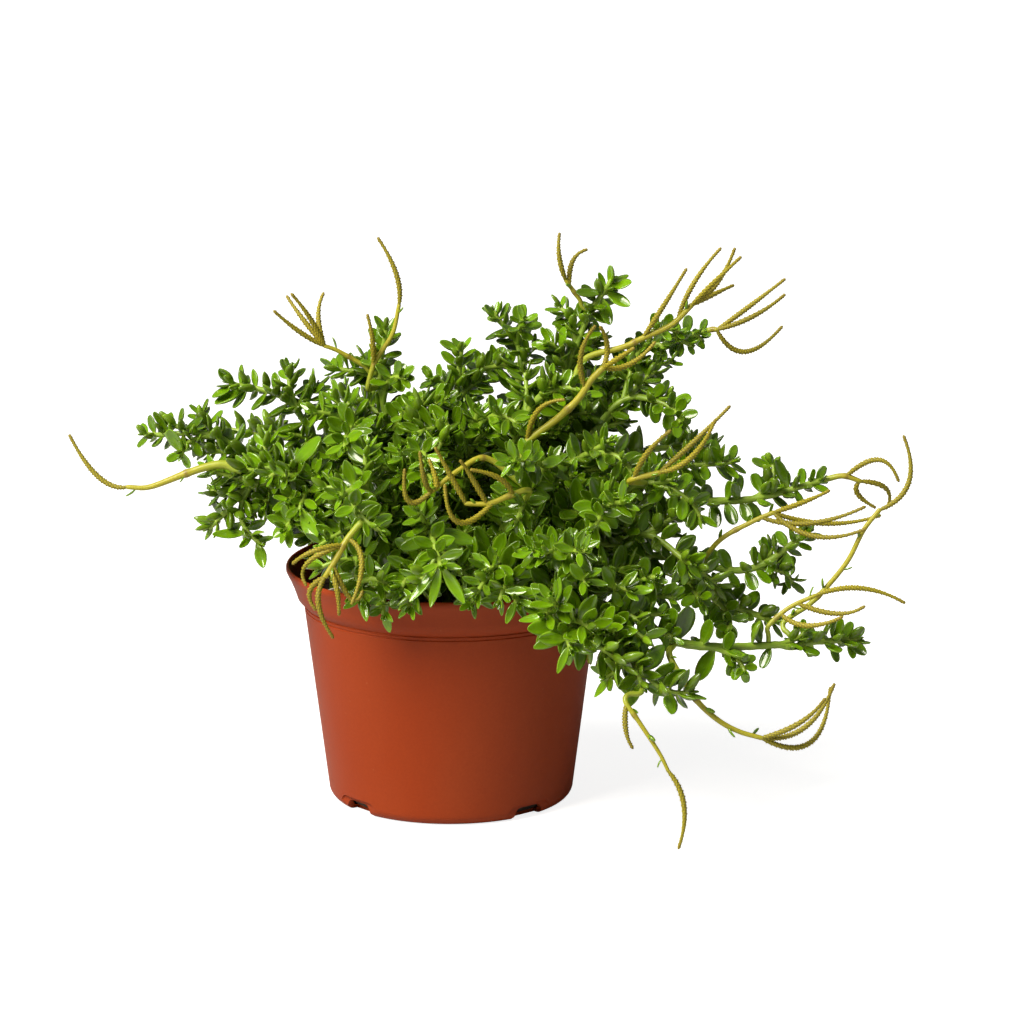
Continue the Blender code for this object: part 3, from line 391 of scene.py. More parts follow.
def bow(start, middle, end, step=FINE_STEP):
    """A bowed line from start to end that passes through the middle point."""
    pull = middle * 2.0 - (start + end) * 0.5
    dense = []
    parts = 16
    for part in range(parts + 1):
        t = part / parts
        dense.append(start * (1 - t) ** 2 + pull * 2 * t * (1 - t) + end * t**2)
    return even_steps(dense, step)


def spread_roots(tips):
    """Roots part of the way out towards the tips, moved apart until they stand clear."""
    roots = [Vector((tip[0], tip[1])) * ROOT_REACH for tip in tips]
    for _ in range(200):
        for i, first in enumerate(roots):
            for second in roots[:i]:
                apart = first - second
                gap = ROOT_SPACING - apart.length
                if gap > 0:
                    push = apart.normalized() * gap * 0.5 if apart.length > 1e-6 else Vector((gap, 0.0))
                    first += push
                    second -= push
        for root in roots:
            if root.length > ROOT_CIRCLE:
                root *= ROOT_CIRCLE / root.length
    return roots


def nearest_point(strand, place):
    """The index of the strand's point that lies nearest to a place."""
    return min(range(len(strand.points)), key=lambda i: (strand.points[i] - place).length_squared)


def stem_strands():
    """The main strand of each leafy stem, with its side shoots."""
    strands = []
    roots = spread_roots([row[3] for row in STEMS])
    for (name, factor, way, tip, shoot_tips), root in zip(STEMS, roots):
        node = "stem_" + name
        tip = Vector(tip)
        foot = Vector((root.x, root.y, SOIL_TOP - ROOT_DEPTH))
        collar = Vector((root.x, root.y, SOIL_TOP + COLLAR_HEIGHT))
        if not way:
            middle = root.lerp(tip.xy, 0.42)
            way = [(middle.x, middle.y, SOIL_TOP + 0.72 * (tip.z - SOIL_TOP))]
        buried = even_steps([foot, collar], FINE_STEP)
        points = buried + smooth_path([collar, *way, tip], UP)[1:]
        main = Strand(node, "stem", points, STEM_BASE_RADIUS, STEM_TIP_RADIUS, held=len(buried))
        main.leaf_factor = factor
        strands.append(main)
        for shoot_tip in shoot_tips:
            strands.append(side_shoot(main, Vector(shoot_tip), len(buried)))
    return strands


def side_shoot(main, tip, first):
    """A side shoot that leaves the main stem at a narrow angle, some way short of its own tip."""
    nearest = nearest_point(main, tip)
    reach = (main.points[nearest] - tip).length
    back = round(max(SHOOT_LEAD, 0.6 * reach) / FINE_STEP)
    joint = max(first + 4, nearest - back)
    start = main.points[joint]
    heading = (main.points[joint + 1] - start).normalized()
    middle = start + heading * (tip - start).length * 0.28 + (tip - start) * 0.36
    shoot = Strand(
        main.node, "shoot", bow(start, middle, tip), SHOOT_BASE_RADIUS, SHOOT_TIP_RADIUS, parent=main
    )
    shoot.joint = joint
    shoot.leaf_factor = main.leaf_factor * SHOOT_LEAVES
    return shoot


def spray_strands(stems):
    """The stalk of each flower spray with its spikes, each spray beside the stem that carries it."""
    strands = []
    for name, carrier, foot_radius, end_radius, route, spikes in SPRAYS:
        node = "spray_" + name
        first = Vector(route[0])
        carriers = [strand for strand in stems if strand.node == "stem_" + carrier]
        parent = min(carriers, key=lambda s: (s.points[nearest_point(s, first)] - first).length)
        joint = nearest_point(parent, first)
        if joint == len(parent.points) - 2:
            joint += 1
        foot = parent.points[joint]
        away = first - foot
        rest = route if away.length > STALK_REACH else route[1:]
        points = smooth_path([foot + away.normalized() * FINE_STEP, *rest])
        stalk = Strand(node, "stalk", points, foot_radius, end_radius, parent=parent)
        stalk.joint = joint
        parent.seats.add(joint)
        strands.append(stalk)
        for start, *rows in spikes:
            knot = nearest_point(stalk, Vector(start))
            for row in rows:
                line = bow(stalk.points[knot], Vector(row[:3]), Vector(row[3:]))
                spike = Strand(node, "spike", line, SPIKE_RADIUS, SPIKE_TIP_RADIUS, parent=stalk)
                spike.joint = knot
                strands.append(spike)
    return strands


def seat_on_parents(strands):
    """Move each strand's foot to its joint, with the shift fading out along the strand."""
    for strand in strands:
        parent = strand.parent
        if parent is None:
            continue
        seat = parent.points[strand.joint]
        away = None
        if strand.kind == "stalk":
            away, reach = stalk_seat(strand, parent)
            seat = seat + away * reach
        shift = seat - strand.points[0]
        fade = min(SHIFT_FADE, len(strand.points) - 1)
        for index in range(fade):
            strand.points[index] += shift * (1.0 - index / fade)
        if away is not None:
            strand.points[1] = (seat + away * STALK_LEAD).lerp(strand.points[2], 0.25)


def stalk_seat(stalk, parent):
    """The direction in which a stalk leaves its stem, square to it or past its tip, and how far out."""
    joint = stalk.joint
    last = len(parent.points) - 1
    along = (parent.points[min(joint + 1, last)] - parent.points[max(joint - 1, 0)]).normalized()
    ahead = stalk.points[2] - parent.points[joint]
    if joint == last:
        away = (along + ahead.normalized() * 0.6).normalized()
        return away, TIP_LENGTH + SPRAY_SEAT
    away = ahead - along * ahead.dot(along)
    return away.normalized(), parent.radii[joint] + SPRAY_SEAT


def clear_of_pot(point, radius):
    """Lift a point over the pot's rim or move it out past the rim."""
    out = Vector((point.x, point.y, 0.0))
    room = radius + CLEARANCE
    if point.z < FLOOR_CLEARANCE + radius:
        point.z = FLOOR_CLEARANCE + radius
    over = POT_HEIGHT + room - point.z
    past = RIM_RADIUS + room - out.length
    inside = out.length - (RIM_RADIUS - RIM_ZONE - room)
    if over > 0 and past > 0 and inside > 0:
        if past < over:
            point += out.normalized() * past
        elif over < RIM_ZONE or inside > over:
            point.z += over
        else:
            point -= out.normalized() * inside


def ease_apart(strands, rounds=90):
    """Bend the strands of different nodes clear of each other, with roots and joints held."""
    rows = [(strand, index) for strand in strands for index in range(len(strand.points))]
    reach = 2 * STEM_BASE_RADIUS + CLEARANCE + 0.6
    for _ in range(rounds):
        tree = KDTree(len(rows))
        for number, (strand, index) in enumerate(rows):
            tree.insert(strand.points[index], number)
        tree.balance()
        moves = {id(strand): [Vector() for _ in strand.points] for strand in strands}
        for number, (strand, index) in enumerate(rows):
            if index < strand.held:
                continue
            point = strand.points[index]
            for other_point, other_number, distance in tree.find_range(point, reach):
                other, other_index = rows[other_number]
                if other.node == strand.node or share_joint(strand, index, other, other_index):
                    continue
                need = strand.radii[index] + other.radii[other_index] + CLEARANCE
                if 1e-6 < distance < need:
                    move = (point - other_point) * ((need - distance) / distance)
                    moves[id(strand)][index] += move
        for strand in strands:
            own = moves[id(strand)]
            for _ in range(2):
                padded = [own[0], *own, own[-1]]
                own = [(padded[i] + padded[i + 1] * 2 + padded[i + 2]) / 4 for i in range(len(own))]
            for index in range(strand.held, len(strand.points)):
                strand.points[index] += own[index]
                clear_of_pot(strand.points[index], strand.radii[index])
        seat_on_parents(strands)


def share_joint(strand, index, other, other_index):
    """Whether two points lie on either side of the seat of a spray's stalk on its stem."""
    near = 2
    return (strand.parent is other and index < near) or (other.parent is strand and other_index < near)


def corner_points(points, first, last, kept):
    """Keep the points that a faceted line needs to stay within the facet error of the curve."""
    start, end = points[first], points[last]
    along = (end - start).normalized()
    furthest, error = first, 0.0
    for index in range(first + 1, last):
        off = points[index] - start
        distance = (off - along * off.dot(along)).length
        if distance > error:
            furthest, error = index, distance
    if error > FACET_ERROR:
        corner_points(points, first, furthest, kept)
        kept.add(furthest)
        corner_points(points, furthest, last, kept)


def coarse_points(strand):
    """The strand's points thinned out for its solid, with their radii; the seats of sprays stay."""
    last = len(strand.points) - 1
    stops = sorted({0, strand.held - 1, last, *strand.seats})
    kept = set(stops)
    for first, second in zip(stops, stops[1:]):
        corner_points(strand.points, first, second, kept)
    picks = sorted(kept)
    return [strand.points[i] for i in picks], [strand.radii[i] for i in picks]


def tube(points, radii, sides):
    """Vertices and faces of a closed tube with a flat foot and a pointed tip."""
    verts = []
    direction = (points[1] - points[0]).normalized()
    side = direction.orthogonal().normalized()
    if abs(direction.z) > 0.99:
        side = Vector((1.0, 0.0, 0.0))
    for index, point in enumerate(points):
        before = points[max(index - 1, 0)]
        after = points[min(index + 1, len(points) - 1)]
        direction = (after - before).normalized()
        side = (side - direction * side.dot(direction)).normalized()
        other = direction.cross(side)
        for corner in range(sides):
            angle = math.tau * corner / sides
            verts.append(point + (side * math.cos(angle) + other * math.sin(angle)) * radii[index])
    verts.append(points[-1] + direction * TIP_LENGTH)
    return verts, closed_faces(len(points), sides)


def level_side(axis):
    """The direction square to an axis from which the leaves' turns round it are counted."""
    flat = UP if abs(axis.z) < 0.9 else Vector((1.0, 0.0, 0.0))
    return (flat - axis * flat.dot(axis)).normalized()


class Leaf:
    """One boat-shaped leaf: where it grows, where it points and how large it is."""

    def __init__(self, strand, distance, turn, length, width, pitch, curl):
        self.strand = strand
        self.distance = distance
        self.turn = turn
        self.length = length
        self.width = width
        self.pitch = pitch
        self.curl = curl
        self.seen = False

    def frame(self):
        """The foot on the stem's axis, and the leaf's own along, side and face directions."""
        foot, axis = self.strand.place(self.distance)
        first = level_side(axis)
        second = axis.cross(first)
        out = first * math.cos(self.turn) + second * math.sin(self.turn)
        along = (axis * math.cos(self.pitch) + out * math.sin(self.pitch) + UP * LEAF_LIFT).normalized()
        face = axis * 0.8 + UP * 0.45 - out * 0.2
        face = (face - along * face.dot(along)).normalized()
        return foot, along, face.cross(along), face

    def solid(self, start=0.0, swell=0.0):
        """Vertices and faces of the leaf: two margins and a keel at each station along it."""
        foot, along, side, face = self.frame()
        stations = next(row for limit, row in STATIONS if self.length > limit)
        verts = [foot + along * start]
        for share, breadth in stations:
            centre = foot + along * (self.length * share) + face * (self.curl * self.length * share**2)
            half = self.width * 0.5 * breadth + swell
            rise = self.width * LEAF_FOLD * breadth + swell
            keel = max(self.width * LEAF_FLESH * breadth, LEAF_LEAST_FLESH) + swell
            verts.append(centre + side * half + face * rise)
            verts.append(centre - side * half + face * rise)
            verts.append(centre - face * keel)
        verts.append(foot + along * (self.length + swell) + face * (self.curl * self.length))
        faces = [(0, 2, 1), (0, 3, 2), (0, 1, 3), *ring_faces(len(stations), 3, 1)]
        low = 1 + (len(stations) - 1) * 3
        tip = len(verts) - 1
        faces += [(low, low + 1, tip), (low + 1, low + 2, tip), (low + 2, low, tip)]
        return verts, faces


# Stations along a placed leaf as shares of its length and width, for leaves longer than a limit
STATIONS = [
    (18.5, [(0.22, 0.62), (0.52, 1.0), (0.82, 0.66)]),
    (14.8, [(0.34, 0.86), (0.72, 0.88)]),
    (0.0, [(0.52, 1.0)]),
]
# How a leaf that meets something tries again: degrees round its stem, degrees of lean, size
SECOND_TRIES = [
    (0, 0, 1.0), (14, 0, 1.0), (-14, 0, 1.0), (0, 14, 1.0), (0, -14, 1.0), (24, 8, 0.9),
    (-24, 8, 0.9), (20, -14, 0.85), (-20, -14, 0.85), (0, 0, 0.78), (32, 10, 0.78), (-32, 10, 0.78),
]


def whorl_leaves(strand, seed):
    """Every leaf of a strand, in whorls of three from its tip down, each turned from the last."""
    draw = random.Random(seed)
    turn = draw.uniform(0.0, math.tau)
    bare = BARE_FOOT + ROOT_DEPTH if strand.kind == "stem" else BARE_SHOOT_FOOT
    distance = FIRST_WHORL
    spacing = FIRST_SPACING
    whorls = []
    while distance < strand.length - bare:
        grown = 1.0 - math.exp(-distance / TIP_ZONE)
        size = LEAF_YOUNG + (LEAF_GROWN - LEAF_YOUNG) * grown
        size += (LEAF_OLD - LEAF_GROWN) * min(1.0, max(0.0, distance - OLD_FROM) / OLD_OVER)
        size *= strand.leaf_factor
        pitch = PITCH_YOUNG + (PITCH_OLD - PITCH_YOUNG) * (1.0 - math.exp(-distance / PITCH_ZONE))
        breadth = BREADTH_YOUNG + (BREADTH_OLD - BREADTH_YOUNG) * grown
        breadth *= 1.0 + SMALL_BREADTH * (1.0 - strand.leaf_factor)
        whorl = []
        for member in range(WHORL):
            angle = turn + math.tau * member / WHORL + math.radians(draw.uniform(-12, 12))
            length = size * draw.uniform(0.84, 1.12)
            width = length * (breadth + draw.uniform(-BREADTH_SPREAD, BREADTH_SPREAD))
            lean = math.radians(pitch + draw.uniform(-9, 9))
            place = distance + draw.uniform(-0.4, 0.4)
            curl = draw.uniform(0.02, 0.12)
            whorl.append(Leaf(strand, place, angle, length, width, lean, curl))
        whorls.append(whorl)
        turn += math.pi / WHORL + math.radians(draw.uniform(-8, 8))
        distance += spacing
        spacing = min(spacing * SPACING_GROWTH, LAST_SPACING)
    return whorls


class Thicket:
    """The space that is already taken, which each new leaf has to stay clear of."""

    def __init__(self):
        self.pieces = []
        self.cells = {}

    def add(self, strand, verts, whole, blade=None):
        """Add a piece; a leaf's blade is the part of it that is clear of its own stem."""
        self.pieces.append((strand, whole, blade))
        for key in self.keys(verts):
            self.cells.setdefault(key, set()).add(len(self.pieces) - 1)

    @staticmethod
    def keys(verts):
        low = [math.floor(min(vert[i] for vert in verts) / CELL) for i in range(3)]
        high = [math.floor(max(vert[i] for vert in verts) / CELL) for i in range(3)]
        return [
            (x, y, z)
            for x in range(low[0], high[0] + 1)
            for y in range(low[1], high[1] + 1)
            for z in range(low[2], high[2] + 1)
        ]

    def crosses(self, strand, verts, whole, blade):
        """Whether a new piece of the strand would cut into one that is there."""
        near = set()
        for key in self.keys(verts):
            near |= self.cells.get(key, set())
        for number in sorted(near):
            other_strand, other_whole, other_blade = self.pieces[number]
            if other_strand is not strand:
                if whole.overlap(other_whole):
                    return True
            elif other_blade is not None and blade.overlap(other_blade):
                return True
        return False


def in_pot(verts):
    """Whether any of the points lies in the soil, in the pot's wall or too near the floor."""
    for vert in verts:
        out = math.hypot(vert.x, vert.y)
        if vert.z < FLOOR_CLEARANCE:
            return True
        if out < RIM_RADIUS + RIM_AIR and vert.z < SOIL_TOP + SOIL_AIR:
            return True
        if RIM_RADIUS - RIM_ZONE < out < RIM_RADIUS + RIM_AIR and vert.z < POT_HEIGHT + RIM_AIR:
            return True
    return False


def place_leaf(thicket, leaf):
    """Turn, lean or shorten the leaf until it is clear of the rest; say whether it is."""
    turn, pitch, length, width = leaf.turn, leaf.pitch, leaf.length, leaf.width
    bark = leaf.strand.radius_at(leaf.distance) + BLADE_START
    for turned, leaned, scale in SECOND_TRIES:
        leaf.turn = turn + math.radians(turned)
        leaf.pitch = pitch + math.radians(leaned)
        leaf.length = length * scale
        leaf.width = width * scale
        verts, faces = leaf.solid(swell=LEAF_GAP)
        if in_pot(verts[1:]):
            continue
        whole = BVHTree.FromPolygons(verts, faces)
        blade = BVHTree.FromPolygons(*leaf.solid(start=bark, swell=LEAF_GAP))
        if not thicket.crosses(leaf.strand, verts, whole, blade):
            thicket.add(leaf.strand, verts, whole, blade)
            return True
    return False


def chosen_leaves(whorls):
    """The leaves of the solids: spaced along the strand from its tip down, on all sides in turn."""
    chosen = []
    next_distance = 0.0
    gap = FIRST_PICK
    for number, whorl in enumerate(whorls):
        if whorl[0].distance < next_distance:
            continue
        chosen.append(whorl[(number + len(chosen)) % WHORL])
        next_distance = whorl[0].distance + gap
        gap = min(gap * PICK_GROWTH, LAST_PICK)
    return chosen


def wall_radius(height):
    """Outer radius of the pot's straight wall at a height."""
    return BASE_RADIUS + WALL_TAPER * height


def corner_arc(radius, centre_out, centre_up, parts):
    """Points of a rounded bottom corner, from the flat base up to the wall."""
    points = []
    for part in range(parts + 1):
        angle = math.radians(-90.0 + 90.0 * part / parts)
        points.append((centre_out + radius * math.cos(angle), centre_up + radius * math.sin(angle)))
    return points


def strand_solid(strand):
    """The faceted tube of a strand."""
    sides = {"stem": STEM_SIDES, "shoot": SHOOT_SIDES, "stalk": STALK_SIDES, "spike": SPIKE_SIDES}
    return tube(*coarse_points(strand), sides[strand.kind])


def grow_strands():
    """All stems, side shoots, stalks and spikes, clear of each other."""
    stems = stem_strands()
    strands = stems + spray_strands(stems)
    ease_apart(strands)
    return stems, strands


# Leaf outline: shares of the length, and the breadth there as a share of the full width, first for a
# pointed young leaf and then for a blunt old one
LEAF_OUTLINE = np.array([
    (0.0, 0.15, 0.15), (0.1, 0.32, 0.3), (0.25, 0.72, 0.64), (0.4, 0.96, 0.9), (0.56, 1.0, 1.0),
    (0.73, 0.8, 0.95), (0.87, 0.48, 0.76), (0.965, 0.19, 0.44),
])
SMALL_OUTLINE = np.array([
    (0.0, 0.16, 0.16), (0.2, 0.62, 0.6), (0.45, 1.0, 0.97), (0.7, 0.84, 0.98), (0.93, 0.36, 0.62),
])
# Section of a leaf, from margin to margin over the top and back under the keel: how far across,
# share of the fold, share of the flesh below it, and the painted girth, from 0 at the keel over
# 0.5 at the margin to 1 along the middle of the top
LEAF_SECTION = np.array([
    (-1.0, 0.78, 0.0, 0.5), (-0.62, 0.74, 0.0, 0.72), (0.0, -0.04, 0.0, 1.0), (0.62, 0.74, 0.0, 0.72),
    (1.0, 0.78, 0.0, 0.5), (0.66, 0.3, 0.55, 0.22), (0.0, 0.0, 1.0, 0.0), (-0.66, 0.3, 0.55, 0.22),
])
SMALL_SECTION = np.array([
    (-1.0, 0.8, 0.0, 0.5), (-0.6, 0.7, 0.0, 0.72), (0.0, -0.04, 0.0, 1.0), (0.6, 0.7, 0.0, 0.72),
    (1.0, 0.8, 0.0, 0.5), (0.0, 0.0, 0.85, 0.0),
])
# Length under which a leaf takes the small outline and section, and least depth of a leaf's flesh
SMALL_LEAF = 9.0
LEAST_FLESH = 0.6
# How far the middle of a leaf hangs below its foot and tip, as a share of its length
LEAF_SAG = 0.06
# Where most of the light comes from, which the leaves turn their faces to
LIGHT_SIDE = Vector((-0.45, -0.65, 0.6))


class MeshParts:
    """Vertices, faces, finishes and painted values of one piece, gathered part by part."""

    def __init__(self):
        self.verts = []
        self.faces = []
        self.slots = []
        self.paint = []
        self.count = 0

    def add(self, verts, faces, slot, paint):
        """Add a part: points in millimetres, faces, the number of its finish, four values a point."""
        self.verts.append(np.asarray(verts, dtype=np.float64))
        self.faces.extend([tuple(corner + self.count for corner in face) for face in faces])
        self.slots.extend([slot] * len(faces))
        self.paint.append(np.asarray(paint, dtype=np.float64))
        self.count += len(verts)

    def finish(self, name, surfaces, sharp_angle=None):
        """The piece as an object, with the painted values as its colour attribute "growth"."""
        mesh = bpy.data.meshes.new(name)
        mesh.from_pydata(np.vstack(self.verts) * MM, [], self.faces)
        for surface in surfaces:
            mesh.materials.append(surface)
        mesh.polygons.foreach_set("material_index", self.slots)
        growth = mesh.color_attributes.new("growth", "FLOAT_COLOR", "POINT")
        growth.data.foreach_set("color", np.vstack(self.paint).ravel())
        mesh.shade_smooth()
        if sharp_angle is not None:
            mesh.set_sharp_from_angle(angle=math.radians(sharp_angle))
        return in_scene(name, mesh)


def in_scene(name, data):
    """A new object in the scene, made from a mesh, a light or a camera."""
    made = bpy.data.objects.new(name, data)
    bpy.context.scene.collection.objects.link(made)
    return made


def ring_faces(rings, around, first=0):
    """Quads between rings of points, row by row."""
    faces = []
    for ring in range(rings - 1):
        low = first + ring * around
        for corner in range(around):
            after = (corner + 1) % around
            faces.append((low + corner, low + after, low + around + after, low + around + corner))
    return faces


def closed_faces(rings, around):
    """Quads between rings of points, a flat first end, and a fan to one last point."""
    faces = ring_faces(rings, around)
    faces.append(tuple(reversed(range(around))))
    low = (rings - 1) * around
    faces += [(low + corner, low + (corner + 1) % around, low + around) for corner in range(around)]
    return faces


def leaf_parts(parts, leaf, slot, tone, age, fold=0.2, blunt=0.5, plump=1.0, to_light=0.0):
    """One boat-shaped leaf: folded along its middle, fleshy below, with a short foot; old ones blunt."""
    outline, section = (LEAF_OUTLINE, LEAF_SECTION)
    if leaf.length < SMALL_LEAF:
        outline, section = (SMALL_OUTLINE, SMALL_SECTION)
    shares, young, old = outline.T
    breadths = young + (old - young) * blunt
    across, up, down, girth = section.T
    foot, along, side, face = leaf.frame()
    face += LIGHT_SIDE * to_light
    face = (face - along * face.dot(along)).normalized()
    foot, along, side, face = (np.array(vector) for vector in (foot, along, face.cross(along), face))
    flesh = np.maximum(leaf.width * LEAF_FLESH * breadths, LEAST_FLESH)
    height = leaf.width * fold * np.outer(breadths, up) - np.outer(flesh, down)
    bend = leaf.curl * shares**2 - LEAF_SAG * 4.0 * shares * (1.0 - shares)
    middle = foot + (np.outer(shares, along) + np.outer(bend, face)) * leaf.length
    half = leaf.width * 0.5 * plump
    verts = middle[:, None, :] + (half * np.outer(breadths, across))[:, :, None] * side
    verts = (verts + height[:, :, None] * face).reshape(-1, 3)
    verts = np.vstack([verts, foot + along * leaf.length + face * leaf.curl * leaf.length])
    paint = np.empty((len(verts), 4))
    paint[:, 0] = tone
    paint[:, 1] = [*np.repeat(shares, len(across)), 1.0]
    paint[:, 2] = [*np.tile(girth, len(shares)), 0.5]
    paint[:, 3] = age
    faces = [tuple(reversed(corners)) for corners in closed_faces(len(shares), len(across))]
    parts.add(verts, faces, slot, paint)


def round_points(points, step):
    """The strand's own line, rounded between its points and cut into even steps."""
    dense = []
    last = len(points) - 1
    for index in range(last):
        before = points[max(index - 1, 0)]
        start = points[index]
        end = points[index + 1]
        after = points[min(index + 2, last)]
        for part in range(4):
            t = part / 4
            dense.append(0.5 * (
                start * 2.0 + (end - before) * t
                + (before * 2.0 - start * 5.0 + end * 4.0 - after) * t**2
                + (start * 3.0 - before - end * 3.0 + after) * t**3
            ))
    dense.append(points[last].copy())
    return even_steps(dense, step)


def tube_parts(parts, line, radius_of, around, slot, paint_of, cap=0.8):
    """A round tube along a line; the radius may change along and around it."""
    verts = []
    paint = []
    length = sum((b - a).length for a, b in zip(line, line[1:]))
    side = (line[1] - line[0]).orthogonal().normalized()
    done = 0.0
    last = len(line) - 1
    rows = []
    for index, point in enumerate(line):
        direction = (line[min(index + 1, last)] - line[max(index - 1, 0)]).normalized()
        side = (side - direction * side.dot(direction)).normalized()
        rows.append((point, side.copy(), direction.cross(side), done, 1.0))
        if index < last:
            done += (line[index + 1] - point).length
    for out, shrink in ((0.55, 0.84), (0.9, 0.45)):
        point, side, other, done, _ = rows[last]
        rows.append((point + direction * cap * out, side, other, done, shrink))
    for row, (point, side, other, done, shrink) in enumerate(rows):
        for corner in range(around):
            angle = math.tau * corner / around
            radius = radius_of(done, angle, row) * shrink
            verts.append(point + (side * math.cos(angle) + other * math.sin(angle)) * radius)
            paint.append(paint_of(done, length, angle, row))
    verts.append(line[last] + direction * cap)
    paint.append(paint_of(length, length, 0.0, 0))
    parts.add(verts, closed_faces(len(rows), around), slot, paint)


class Surface:
    """A new material, with short ways to add nodes to it."""

    def __init__(self, name):
        self.material = bpy.data.materials.new(name)
        self.material.use_nodes = True
        self.tree = self.material.node_tree
        self.shader = self.tree.nodes["Principled BSDF"]
        self.place = self.node("TexCoord").outputs["Object"]

    def feed(self, socket, value):
        """Link a value that is a socket, or set one that is not."""
        if isinstance(value, bpy.types.NodeSocket):
            self.tree.links.new(value, socket)
        else:
            socket.default_value = value

    def fill(self, node, **values):
        """Feed a node's sockets, named in lower case with underscores."""
        for key, value in values.items():
            self.feed(node.inputs[key.replace("_", " ").title().replace("Ior", "IOR")], value)

    def shade(self, **values):
        """Feed the shader's sockets."""
        self.fill(self.shader, **values)

    def node(self, kind, **values):
        """A new node with its sockets fed."""
        made = self.tree.nodes.new("ShaderNode" + kind)
        self.fill(made, **values)
        return made

    def noise(self, scale, detail=3.0, stretch=None):
        """Noise with features of about one over the scale in metres."""
        made = self.node("TexNoise", scale=scale, detail=detail)
        place = self.place
        if stretch:
            place = self.node("Mapping", scale=stretch, vector=place).outputs["Vector"]
        self.fill(made, vector=place)
        return made.outputs["Fac"]

    def spots(self, scale, size):
        """Small round spots: 1 inside, 0 outside."""
        made = self.node("TexVoronoi", scale=scale, vector=self.place)
        return self.span(made.outputs["Distance"], size, size * 0.5)

    def math(self, operation, first, second=0.0):
        made = self.node("Math")
        made.operation = operation
        self.feed(made.inputs[0], first)
        self.feed(made.inputs[1], second)
        return made.outputs["Value"]

    def span(self, value, low, high, to_low=0.0, to_high=1.0):
        """The value moved from one range to another and held inside it."""
        return self.node("MapRange", from_min=low, from_max=high, to_min=to_low, to_max=to_high,
                         value=value).outputs["Result"]

    def mix(self, share, first, second, blend="MIX"):
        made = self.node("Mix")
        made.data_type = "RGBA"
        made.blend_type = blend
        self.feed(made.inputs["Factor"], share)
        self.feed(made.inputs[6], first)
        self.feed(made.inputs[7], second)
        return made.outputs[2]

    def tint(self, colour, shade, value, low, high, share=1.0):
        """The colour moved towards another one, by up to a share where the value is high."""
        return self.mix(self.span(value, low, high, 0.0, share), colour, shade)

    def growth(self):
        """The four painted values of a mesh."""
        made = self.node("Attribute")
        made.attribute_name = "growth"
        split = self.node("SeparateColor", color=made.outputs["Color"])
        return *split.outputs[:3], made.outputs["Alpha"]

    def bump(self, height, strength, distance):
        """Fine relief by a height, in metres."""
        made = self.node("Bump", strength=strength, distance=distance, height=height)
        self.shade(normal=made.outputs["Normal"])


def rgb(colour):
    """A colour of the settings for a node, which takes a fourth value."""
    return (*colour, 1.0)


# Settings

COLOUR = {"subtype": "COLOR", "size": 3, "min": 0.0, "max": 1.0}


class PotSettings(bpy.types.PropertyGroup):
    colour: bpy.props.FloatVectorProperty(
        name="Plastic colour", description="Colour of the pot's moulded plastic",
        default=(0.31, 0.037, 0.003), **COLOUR)
    faded: bpy.props.FloatVectorProperty(
        name="Faded colour", description="Colour of the dusty and scuffed places",
        default=(0.35, 0.07, 0.02), **COLOUR)
    roughness: bpy.props.FloatProperty(
        name="Roughness", description="Roughness of the plastic",
        subtype="FACTOR", default=0.5, min=0.0, max=1.0)
    sides: bpy.props.IntProperty(
        name="Sides", description="Number of flat faces round the pot", default=144, min=24, max=360)


class SoilSettings(bpy.types.PropertyGroup):
    colour: bpy.props.FloatVectorProperty(
        name="Peat colour", description="Colour of the damp peat",
        default=(0.03, 0.018, 0.011), **COLOUR)
    grain_colour: bpy.props.FloatVectorProperty(
        name="Grain colour", description="Colour of the pale mineral grains",
        default=(0.62, 0.55, 0.42), **COLOUR)
    grains: bpy.props.IntProperty(
        name="Grains", description="Number of pale grains on the soil", default=190, min=0, max=400)
    relief: bpy.props.FloatProperty(
        name="Relief", description="Height of the soil's small lumps",
        subtype="DISTANCE", unit="LENGTH", default=0.0016, min=0.0, max=0.004)


class LeafSettings(bpy.types.PropertyGroup):
    young: bpy.props.FloatVectorProperty(
        name="Young leaf", description="Colour of the leaves at the tips",
        default=(0.17, 0.335, 0.003), **COLOUR)
    grown: bpy.props.FloatVectorProperty(
        name="Grown leaf", description="Colour of the older leaves",
        default=(0.08, 0.175, 0.001), **COLOUR)
    under: bpy.props.FloatVectorProperty(
        name="Underside", description="Colour of the undersides and margins",
        default=(0.17, 0.28, 0.01), **COLOUR)
    stem: bpy.props.FloatVectorProperty(
        name="Stem", description="Colour of the leafy stems",
        default=(0.26, 0.4, 0.03), **COLOUR)
    roughness: bpy.props.FloatProperty(
        name="Roughness", description="Roughness of the leaves' upper side",
        subtype="FACTOR", default=0.24, min=0.0, max=1.0)


class SpraySettings(bpy.types.PropertyGroup):
    stalk: bpy.props.FloatVectorProperty(
        name="Stalk", description="Colour of the flower stalks",
        default=(0.4, 0.36, 0.018), **COLOUR)
    spike: bpy.props.FloatVectorProperty(
        name="Spike", description="Colour of the grainy flower spikes",
        default=(0.48, 0.405, 0.011), **COLOUR)
    tip: bpy.props.FloatVectorProperty(
        name="Spike tip", description="Colour of the spikes' ends",
        default=(0.36, 0.2, 0.035), **COLOUR)


